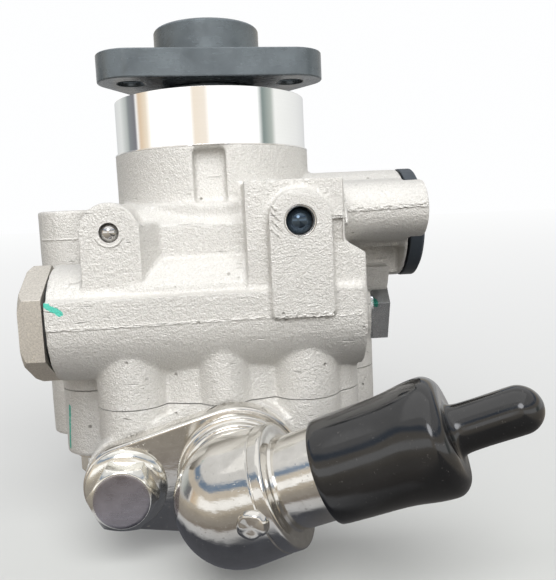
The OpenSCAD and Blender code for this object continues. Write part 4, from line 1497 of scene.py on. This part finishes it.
@dataclass
class SuctionElbow:
    """Plated suction elbow: oblong flange, collars, knuckle, tube stub, nub and bolt."""

    middle: Point = (2.5, -57.0, -96.3)
    face_y: float = -37.5
    plate_t: float = 5.0
    plate_r: float = 14.6
    lobe_r: float = 9.5
    bolt: tuple[float, float] = (-21.8, -98.1)
    bulb_r: float = 13.0
    shoulder: float = 11.0
    tube_r: float = 9.0
    tube_end: float = 38.0
    bore_r: float = 7.6
    turn: float = 21.8
    lean: float = 18.0
    hex_r: float = 7.48
    hex_depth: float = 6.5
    hex_turn: float = 25.0

    def axis(self) -> Vector:
        """Gives the direction of the outlet."""
        turn, lean = math.radians(self.turn), math.radians(self.lean)
        flat = math.cos(lean)
        return Vector((math.cos(turn) * flat, -math.sin(lean), math.sin(turn) * flat))

    def build(self) -> None:
        """Builds and dresses every piece of the elbow."""
        dress(self.build_plate(), PLATED, Body.HOUSING, ["suction_elbow"])
        dress(self.build_collars(), PLATED, Body.HOUSING)
        dress(self.build_leg(), PLATED, Body.HOUSING)
        dress(self.build_nub(), PLATED, Body.HOUSING)
        self.build_bolt()

    def ring(self, x: float, z: float, radius: float, sides: int) -> None:
        """Adds a bare circle on the face that the flange sits on."""
        bpy.ops.mesh.primitive_circle_add(
            vertices=sides,
            radius=radius * MM,
            fill_type="NOTHING",
            location=metres((x, self.face_y, z)),
            rotation=(math.radians(90), 0, 0),
        )

    def build_plate(self) -> bpy.types.Object:
        """Models the oblong flange from two circles, hulled, extruded and rounded."""
        deselect()
        self.ring(self.middle[0], self.middle[2], self.plate_r, 120)
        plate = bpy.context.object
        plate.name = "elbow_flange"
        place(plate, Matrix.Identity(4))
        begin_edit(plate)
        self.ring(*self.bolt, self.lobe_r, 96)
        bpy.ops.mesh.select_all(action="SELECT")
        bpy.ops.mesh.convex_hull()
        bpy.ops.mesh.select_all(action="SELECT")
        bpy.ops.mesh.dissolve_limited(angle_limit=math.radians(0.3))
        bpy.ops.mesh.select_all(action="SELECT")
        rise = (0, -self.plate_t * MM, 0)
        bpy.ops.mesh.extrude_region_move(TRANSFORM_OT_translate={"value": rise})
        end_edit()
        soften(plate, 0.9, 4, 50.0)
        return plate

    def build_collars(self) -> bpy.types.Object:
        """Models the stepped collars between flange and knuckle."""
        t = self.plate_t
        section: Section = [(0, 1.0), (13.2, 1.0), (13.2, t + 1.5)]
        section += arc((12.5, t + 1.5), 0.7, 0, 90, 5)[1:]
        section += [(12.3, t + 2.25), (12.0, t + 2.6), (12.0, t + 3.4)]
        section += arc((11.3, t + 3.4), 0.7, 0, 90, 5)[1:]
        section += [(11.1, t + 4.2), (11.0, t + 5.0), (11.0, 15.5), (0, 15.5)]
        x, _, z = self.middle
        collar = lathe("elbow_collars", section, along((0, -1, 0), (x, self.face_y, z)))
        smooth(collar, 30.0)
        return collar

    def build_leg(self) -> bpy.types.Object:
        """Models the knuckle, barrel, lip and bored tube stub as one turned piece."""
        b, s = self.bulb_r, self.shoulder
        section = arc((0, 0), b, -90, 2, 26)
        section += [(12.42, 7.6), (12.36, 8.0), (12.16, 8.2)]
        section += [(12.16, 8.4), (12.34, 8.6), (12.30, 9.9)]
        section += arc((11.55, s - 0.75), 0.75, 5, 85, 6)
        section += [(10.8, s), (9.7, s)]
        section += [(9.25, s + 0.12), (self.tube_r, s + 0.6), (self.tube_r, self.tube_end - 0.5)]
        section += [(self.tube_r - 0.35, self.tube_end), (self.bore_r + 0.3, self.tube_end)]
        section += [(self.bore_r, self.tube_end - 0.4), (self.bore_r, 2.0), (0, 1.2)]
        leg = lathe("elbow_leg", section, along(self.axis(), self.middle), 128)
        smooth(leg, 24.0)
        return leg

    def build_nub(self) -> bpy.types.Object:
        """Models the raised nub low on the front of the barrel."""
        section: Section = [(0, -2.0), (3.0, -2.0), (2.95, 0.0)]
        section += arc((1.7, -0.1), 1.2, 5, 78, 7)
        section += [(1.3, 1.12), (0.6, 1.1), (0, 1.08)]
        out = self.radial(Vector((-0.23, -0.97, -0.08)))
        spot = Vector(self.middle) + self.axis() * 6.5 + out * 12.5
        nub = lathe("elbow_nub", section, Matrix.Diagonal((1.15, 0.95, 1.0, 1.0)), 64)
        nub.data.transform(along(out, spot))
        ruffle(nub, "nub_dents", 2.8, 0.9, 0.6, 1)
        smooth(nub, 60.0)
        return nub

    def radial(self, towards: Vector) -> Vector:
        """Gives the direction square to the outlet that is nearest to another one."""
        a = self.axis()
        return (towards - a * towards.dot(a)).normalized()

    def build_bolt(self) -> None:
        """Models the flanged hexagon bolt with its washer face and rounded crown."""
        base = along((0, -1, 0), (self.bolt[0], self.face_y - self.plate_t, self.bolt[1]))
        section: Section = [(0, -3.0), (4.0, -3.0), (4.0, 0.0), (8.5, 0.0), (8.75, 0.25)]
        section += [(8.75, 0.9), (8.5, 1.25), (7.9, 1.6), (6.9, 2.0), (0, 2.0)]
        washer = lathe("elbow_bolt_washer", section, base)
        smooth(washer, 25.0)
        dress(washer, BOLT, Body.HOUSING, ["elbow_bolt"])
        deselect()
        bpy.ops.mesh.primitive_cylinder_add(
            vertices=6,
            radius=self.hex_r * MM,
            depth=self.hex_depth * MM,
            location=(0, 0, 4.25 * MM),
            rotation=(0, 0, math.radians(self.hex_turn)),
        )
        head = bpy.context.object
        head.name = "elbow_bolt_head"
        place(head, Matrix.Identity(4))
        section = [(0, 0), (9, 0), (9, 5.2), (7.5, 6.1), (6.8, 6.75), (6.35, 7.2)]
        section += [(6.1, 7.36), (5.9, 7.4), (0, 7.4)]
        cut(head, lathe("crown_tool", section, Matrix.Identity(4), 120), Cut.KEEP)
        flatten_facets(head)
        soften(head, 0.12, 2, 22.0, 24.0)
        head.data.transform(base)
        dress(head, BOLT, Body.HOUSING)
        section = [(0, 6.4), (5.86, 6.4), (5.9, 7.3), (5.82, 7.46), (5.6, 7.52)]
        section += [(5.1, 7.51), (2.0, 7.5), (0, 7.5)]
        face = lathe("elbow_bolt_face", section, base)
        smooth(face, 30.0)
        dress(face, BOLT_FACE, Body.HOUSING)


@dataclass
class SuctionCap:
    """Dipped vinyl cap on the tube stub, with its swollen end and pull tail."""

    elbow: SuctionElbow
    mouth: float = 19.4
    end: float = 44.4
    tip: float = 60.4
    bore_r: float = 9.3
    wall: float = 0.85
    tail_r: float = 4.4

    def build(self) -> None:
        """Builds and dresses the cap."""
        inner, outer, mouth, end = self.bore_r, self.bore_r + self.wall, self.mouth, self.end
        section: Section = [(0, end - 1.2), (inner - 1.0, end - 1.2), (inner, end - 2.2)]
        section += [(inner, mouth + 0.2), (inner + 0.2, mouth), (outer - 0.25, mouth)]
        section += [(outer, mouth + 0.25), (outer + 0.05, mouth + 6), (outer + 0.1, mouth + 11)]
        section += [(outer + 0.3, mouth + 14.5), (outer + 0.62, mouth + 16.6)]
        section += [(outer + 0.88, mouth + 18.6), (outer + 0.98, mouth + 20.4)]
        section += arc((outer - 2.4, end - 3.4), 3.4, 6, 78, 9)
        section += [(6.6, end - 0.15), (5.6, end - 0.25), (5.0, end + 0.05), (4.6, end + 0.7)]
        section += [(self.tail_r + 0.05, end + 1.8), (self.tail_r, end + 4.0)]
        section += arc((0, self.tip - self.tail_r), self.tail_r, 0, 90, 12)
        cap = lathe("suction_cap_body", section, along(self.elbow.axis(), self.elbow.middle))
        modify(cap, "SUBSURF", levels=1, render_levels=1)
        ruffle(cap, "vinyl_wobble", 9.0, 0.16, 0.7)
        smooth(cap, 60.0)
        dress(cap, VINYL, Body.CAP, ["suction_cap"])


@dataclass
class InnerWorks:
    """The control spring, and the CAD nodes that stay as they are and only take a finish."""

    finishes: dict[str, Finish] = field(
        default_factory=lambda: {
            Slot.CAST.value: CAST,
            Slot.PLATE.value: PLATE_ALLOY,
            Slot.OXIDE.value: OXIDE,
            Slot.INNER.value: INNER,
            Slot.PLUG.value: PLUG,
            Slot.PLATED.value: BOLT,
            Slot.BRIGHT.value: BRIGHT_BALL,
            Slot.DARK.value: DARK_BALL,
            Slot.BRONZE.value: BRONZE,
            Slot.RUBBER.value: RUBBER,
            Slot.PLASTIC.value: PLASTIC,
            Slot.VINYL.value: VINYL,
        }
    )
    spool_travel: float = 6.0

    def build_spring(self) -> None:
        """Builds the control spring from its CAD node."""
        spring = copy_node("control_spring", "control_spring_coil")
        smooth(spring, 60.0)
        dress(spring, INNER, Body.HOUSING, ["control_spring"])
        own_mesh(spring)

    def build(self) -> None:
        """Builds the spring and dresses every node that no piece stands for."""
        self.build_spring()
        slots = {part["node"]: part["material_slot"] for part in frame["record"]["subparts"]}
        for name, node in frame["nodes"].items():
            if node.hide_render:
                continue
            finish = self.finishes[slots[name]]
            node.data.materials.clear()
            node.data.materials.append(finish.material())
            LOG.info("%s keeps its CAD mesh, %s", name, finish.name)


@dataclass
class Studio:
    """Camera, pale floor, soft light and the surroundings that bright metal shows."""

    eye: Point = (3.15, -184.67, -41.36)
    look: Point = (0.0694, 0.9919, -0.1066)
    up: Point = (0.0534, 0.103, 0.9932)
    focal_pixels: float = 667.9
    photo_height: float = 580.0
    sensor: float = 36.0
    floor_z: float = -113.3
    haze: float = 124.0
    # Colour of the floor near the pump, painted darker as shade.
    floor_near_shade: Colour = (0.50, 0.51, 0.50)
    floor_far: Colour = (0.92, 0.925, 0.93)
    floor_bounce: Colour = (0.06, 0.06, 0.062)
    backdrop: Colour = (0.985, 0.99, 0.99)
    wall: Colour = (0.70, 0.635, 0.545)
    ceiling: Colour = (0.80, 0.80, 0.80)
    beams: Colour = (0.22, 0.30, 0.42)
    ground: Colour = (0.30, 0.30, 0.31)
    window: Colour = (5.0, 5.1, 5.3)
    window_way: Point = (-0.17, -0.80, 0.57)

    def build(self) -> None:
        """Builds the whole studio."""
        bpy.context.scene.view_settings.view_transform = "Standard"
        self.build_camera()
        self.build_floor()
        self.build_lamps()
        self.build_world()

    def build_camera(self) -> None:
        """Sets the camera at the photograph's viewing angle."""
        data = bpy.data.cameras.new("camera")
        data.sensor_width = self.sensor
        data.lens = self.focal_pixels * self.sensor / self.photo_height
        data.clip_start, data.clip_end = 0.005, 50.0
        camera = bpy.data.objects.new("camera", data)
        bpy.context.scene.collection.objects.link(camera)
        ahead = Vector(self.look).normalized()
        right = ahead.cross(Vector(self.up)).normalized()
        top = right.cross(ahead)
        turn = Matrix((right, top, -ahead)).transposed().to_4x4()
        camera.matrix_world = Matrix.Translation(metres(self.eye)) @ turn
        bpy.context.scene.camera = camera

    def build_floor(self) -> None:
        """Lays the pale floor, painted darker near the pump as shade, which fades to white far away
        and keeps the shadow near by.
        """
        deselect()
        bpy.ops.mesh.primitive_plane_add(size=30.0, location=(0, 0, self.floor_z * MM))
        floor = bpy.context.object
        floor.name = "floor"
        made = bpy.data.materials.new("pale_floor")
        made.use_nodes = True
        graph = Graph(made.node_tree)
        spot = graph.add("TexCoord").outputs["Object"]
        reach = graph.vector("LENGTH", spot, out=1)
        # painted shade: the floor's colour darkens towards the pump
        far = graph.span(reach, 0.10, 0.75)
        colour = graph.mix(far, self.floor_near_shade, self.floor_far)
        rays = graph.add("LightPath").outputs
        colour = graph.mix(rays["Is Diffuse Ray"], colour, self.floor_bounce)
        matt = {"Base Color": colour, "Roughness": 0.85, "Specular IOR Level": 0.1}
        shader = graph.add("BsdfPrincipled", matt)
        glow = graph.add("Emission", {"Color": self.backdrop, "Strength": 1.0})
        front = metres((self.eye[0], self.eye[1], 0.0))
        depth = graph.vector("LENGTH", graph.vector("SUBTRACT", spot, front), out=1)
        whiten = graph.minus(1.0, graph.math("DIVIDE", self.haze * MM, depth), clamp=True)
        fade = graph.times(whiten, rays["Is Camera Ray"])
        blend = graph.add("MixShader", {0: fade, 1: shader.outputs[0], 2: glow.outputs[0]})
        table = self.mirrored_floor(graph, spot)
        mirrored = graph.add("Emission", {"Color": table, "Strength": 1.0})
        glossy = graph.math("MAXIMUM", rays["Is Glossy Ray"], rays["Is Transmission Ray"])
        blend = graph.add("MixShader", {0: glossy, 1: blend.outputs[0], 2: mirrored.outputs[0]})
        output = graph.add("OutputMaterial")
        graph.feed(output.inputs["Surface"], blend.outputs[0])
        floor.data.materials.append(made)

    def mirrored_floor(self, graph: Graph, spot: bpy.types.NodeSocket) -> bpy.types.NodeSocket:
        """Lays the table that bright metal shows: painted shadow close by and under the pump's
        right side, a pale strip, then warm wood.

        Args:
            graph: Graph of the floor's material.
            spot: Object coordinates of the floor.

        Returns:
            The colour that reflected rays see.
        """
        under_elbow = metres((2.5, -45.0, 0.0))
        reach = graph.vector("LENGTH", graph.vector("SUBTRACT", spot, under_elbow), out=1)
        wander = graph.span(graph.noise(spot, 45.0, 3.0, 0.6), 0.3, 0.7, -0.004, 0.004)
        reach = graph.plus(reach, wander)
        # painted shadow: the ramp starts dark, the pump's shadow close under the elbow as
        # reflections see it
        node = graph.add("ValToRGB", {0: graph.span(reach, 0.0, 0.5)})
        self.lay(
            node.color_ramp,
            [
                (0.000, (0.100, 0.103, 0.115)),
                (0.068, (0.072, 0.076, 0.090)),
                (0.080, (0.55, 0.56, 0.58)),
                (0.098, (0.62, 0.62, 0.63)),
                (0.108, (0.24, 0.21, 0.185)),
                (0.140, (0.33, 0.305, 0.275)),
                (0.400, (0.49, 0.44, 0.365)),
                (1.000, (0.58, 0.535, 0.465)),
            ],
        )
        axes = graph.add("SeparateXYZ", {0: spot}).outputs
        # painted shadow: the table goes dark under the pump's right side
        under = graph.times(
            graph.span(axes["X"], 0.012, 0.030), graph.span(axes["X"], 0.130, 0.090)
        )
        table = graph.mix(under, node.outputs[0], (0.15, 0.145, 0.14))
        behind = graph.span(axes["Y"], 0.0, 0.12)
        return graph.mix(behind, table, (0.55, 0.55, 0.55))

    @staticmethod
    def lay(ramp: bpy.types.ColorRamp, stops: Sequence[tuple[float, Colour]]) -> None:
        """Lays colours on a ramp by their place from 0 to 1."""
        for index, (spot, colour) in enumerate(stops):
            element = ramp.elements[index] if index < 2 else ramp.elements.new(spot)
            element.position = spot
            element.color = (*colour, 1.0)

    def lamp(
        self,
        name: str,
        spot: Point,
        aim: Point,
        size: tuple[float, float],
        power: float,
        colour: Colour,
        mirrored: bool = True,
    ) -> None:
        """Adds a soft box.

        Args:
            name: Name of the lamp.
            spot: Its place in millimetres.
            aim: The point it faces in millimetres.
            size: Its width and height in metres.
            power: Its power in watts.
            colour: Its colour.
            mirrored: Whether bright metal shows it.
        """
        data = bpy.data.lights.new(name, "AREA")
        data.shape = "RECTANGLE"
        data.size, data.size_y = size
        data.energy = power
        data.color = colour
        lamp = bpy.data.objects.new(name, data)
        bpy.context.scene.collection.objects.link(lamp)
        lamp.visible_glossy = mirrored
        lamp.location = metres(spot)
        lamp.rotation_mode = "QUATERNION"
        lamp.rotation_quaternion = (metres(aim) - metres(spot)).to_track_quat("-Z", "Y")

    def build_lamps(self) -> None:
        """Hangs the soft boxes."""
        body = (0, -20, -60)
        warm, cool = (1.0, 0.994, 0.985), (0.97, 0.985, 1.0)
        self.lamp("sky_box", (-60, -120, 620), (0, -15, -50), (0.9, 0.8), 0.8, (1.0, 0.995, 0.985))
        self.lamp("front_box", (30, -475, 325), body, (0.72, 0.58), 8.3, warm, False)
        self.lamp("right_box", (620, -260, 200), body, (0.5, 0.6), 0.5, cool, False)

    def build_world(self) -> None:
        """Sets plain soft light all round, with a room of soft bands for reflections."""
        world = bpy.data.worlds.new("studio")
        bpy.context.scene.world = world
        world.use_nodes = True
        graph = Graph(world.node_tree)
        ray = graph.add("TexCoord").outputs["Generated"]
        axes = graph.add("SeparateXYZ", {0: ray}).outputs
        turn = graph.math("ARCTAN2", axes["X"], graph.times(axes["Y"], -1.0))
        around = graph.span(turn, -math.pi, math.pi)
        ramp = graph.add("ValToRGB", {0: around})
        self.fill_ramp(ramp.color_ramp)
        high = graph.span(axes["Z"], 0.38, 0.55)
        low = graph.span(axes["Z"], -0.08, -0.40)
        wall = graph.span(axes["Z"], 0.22, 0.27)
        room = graph.mix(wall, ramp.outputs[0], self.wall)
        room = graph.mix(high, room, self.ceiling)
        streak = graph.times(graph.span(axes["Z"], 0.40, 0.45), graph.span(axes["Z"], 0.60, 0.54))
        patch = graph.span(graph.noise(ray, 2.4, 4.0, 0.65), 0.36, 0.52)
        room = graph.mix(graph.times(streak, patch), room, self.beams)
        room = graph.mix(low, room, self.ground)
        facing = graph.vector("DOT_PRODUCT", ray, Vector(self.window_way).normalized(), 1)
        glint = graph.span(facing, 0.972, 0.986)
        room = graph.mix(glint, room, self.window)
        rays = graph.add("LightPath").outputs
        soft = graph.add("Background", {"Color": (0.97, 0.985, 1.0), "Strength": 0.055})
        shown = graph.add("Background", {"Color": room, "Strength": 1.0})
        white = graph.add("Background", {"Color": (0.99, 0.995, 1.0), "Strength": 1.0})
        glossy = graph.math("MAXIMUM", rays["Is Glossy Ray"], rays["Is Transmission Ray"])
        lit = graph.add("MixShader", {0: glossy, 1: soft.outputs[0], 2: shown.outputs[0]})
        seen = {0: rays["Is Camera Ray"], 1: lit.outputs[0], 2: white.outputs[0]}
        last = graph.add("MixShader", seen)
        output = graph.add("OutputWorld")
        graph.feed(output.inputs["Surface"], last.outputs[0])

    def fill_ramp(self, ramp: bpy.types.ColorRamp) -> None:
        """Lays the bands of the room, by degrees to the right of the camera's side."""
        bands: list[tuple[float, Colour]] = [
            (-180, (0.62, 0.63, 0.64)),
            (-134, (0.74, 0.76, 0.75)),
            (-117, (0.46, 0.49, 0.48)),
            (-112, (0.25, 0.27, 0.28)),
            (-99, (0.20, 0.20, 0.22)),
            (-96, (0.95, 0.95, 0.95)),
            (-91, (0.72, 0.56, 0.40)),
            (-80, (0.86, 0.76, 0.62)),
            (-72, (1.2, 1.19, 1.17)),
            (-23, (1.2, 1.2, 1.2)),
            (-18, (0.90, 0.81, 0.69)),
            (-5, (0.92, 0.84, 0.74)),
            (1, (1.2, 1.2, 1.2)),
            (58, (1.15, 1.16, 1.15)),
            (65, (0.22, 0.27, 0.26)),
            (78, (0.46, 0.50, 0.47)),
            (84, (0.92, 0.93, 0.91)),
            (125, (0.82, 0.83, 0.82)),
            (180, (0.62, 0.63, 0.64)),
        ]
        self.lay(ramp, [((degrees + 180) / 360, colour) for degrees, colour in bands])


def main() -> None:
    """Builds the pump's looks round the frame, piece by piece."""
    global EFFECTS
    logging.basicConfig(level=logging.INFO, format="%(name)s: %(message)s")
    deselect()
    EFFECTS = EffectGroups()
    elbow = SuctionElbow()
    assemblies = (
        Studio(),
        Housing(),
        RearCover(),
        DriveFlange(),
        PlugSet(),
        elbow,
        SuctionCap(elbow),
        InnerWorks(),
    )
    for assembly in assemblies:
        LOG.info("building %s", type(assembly).__name__)
        assembly.build()


if __name__ == "__main__":
    main()
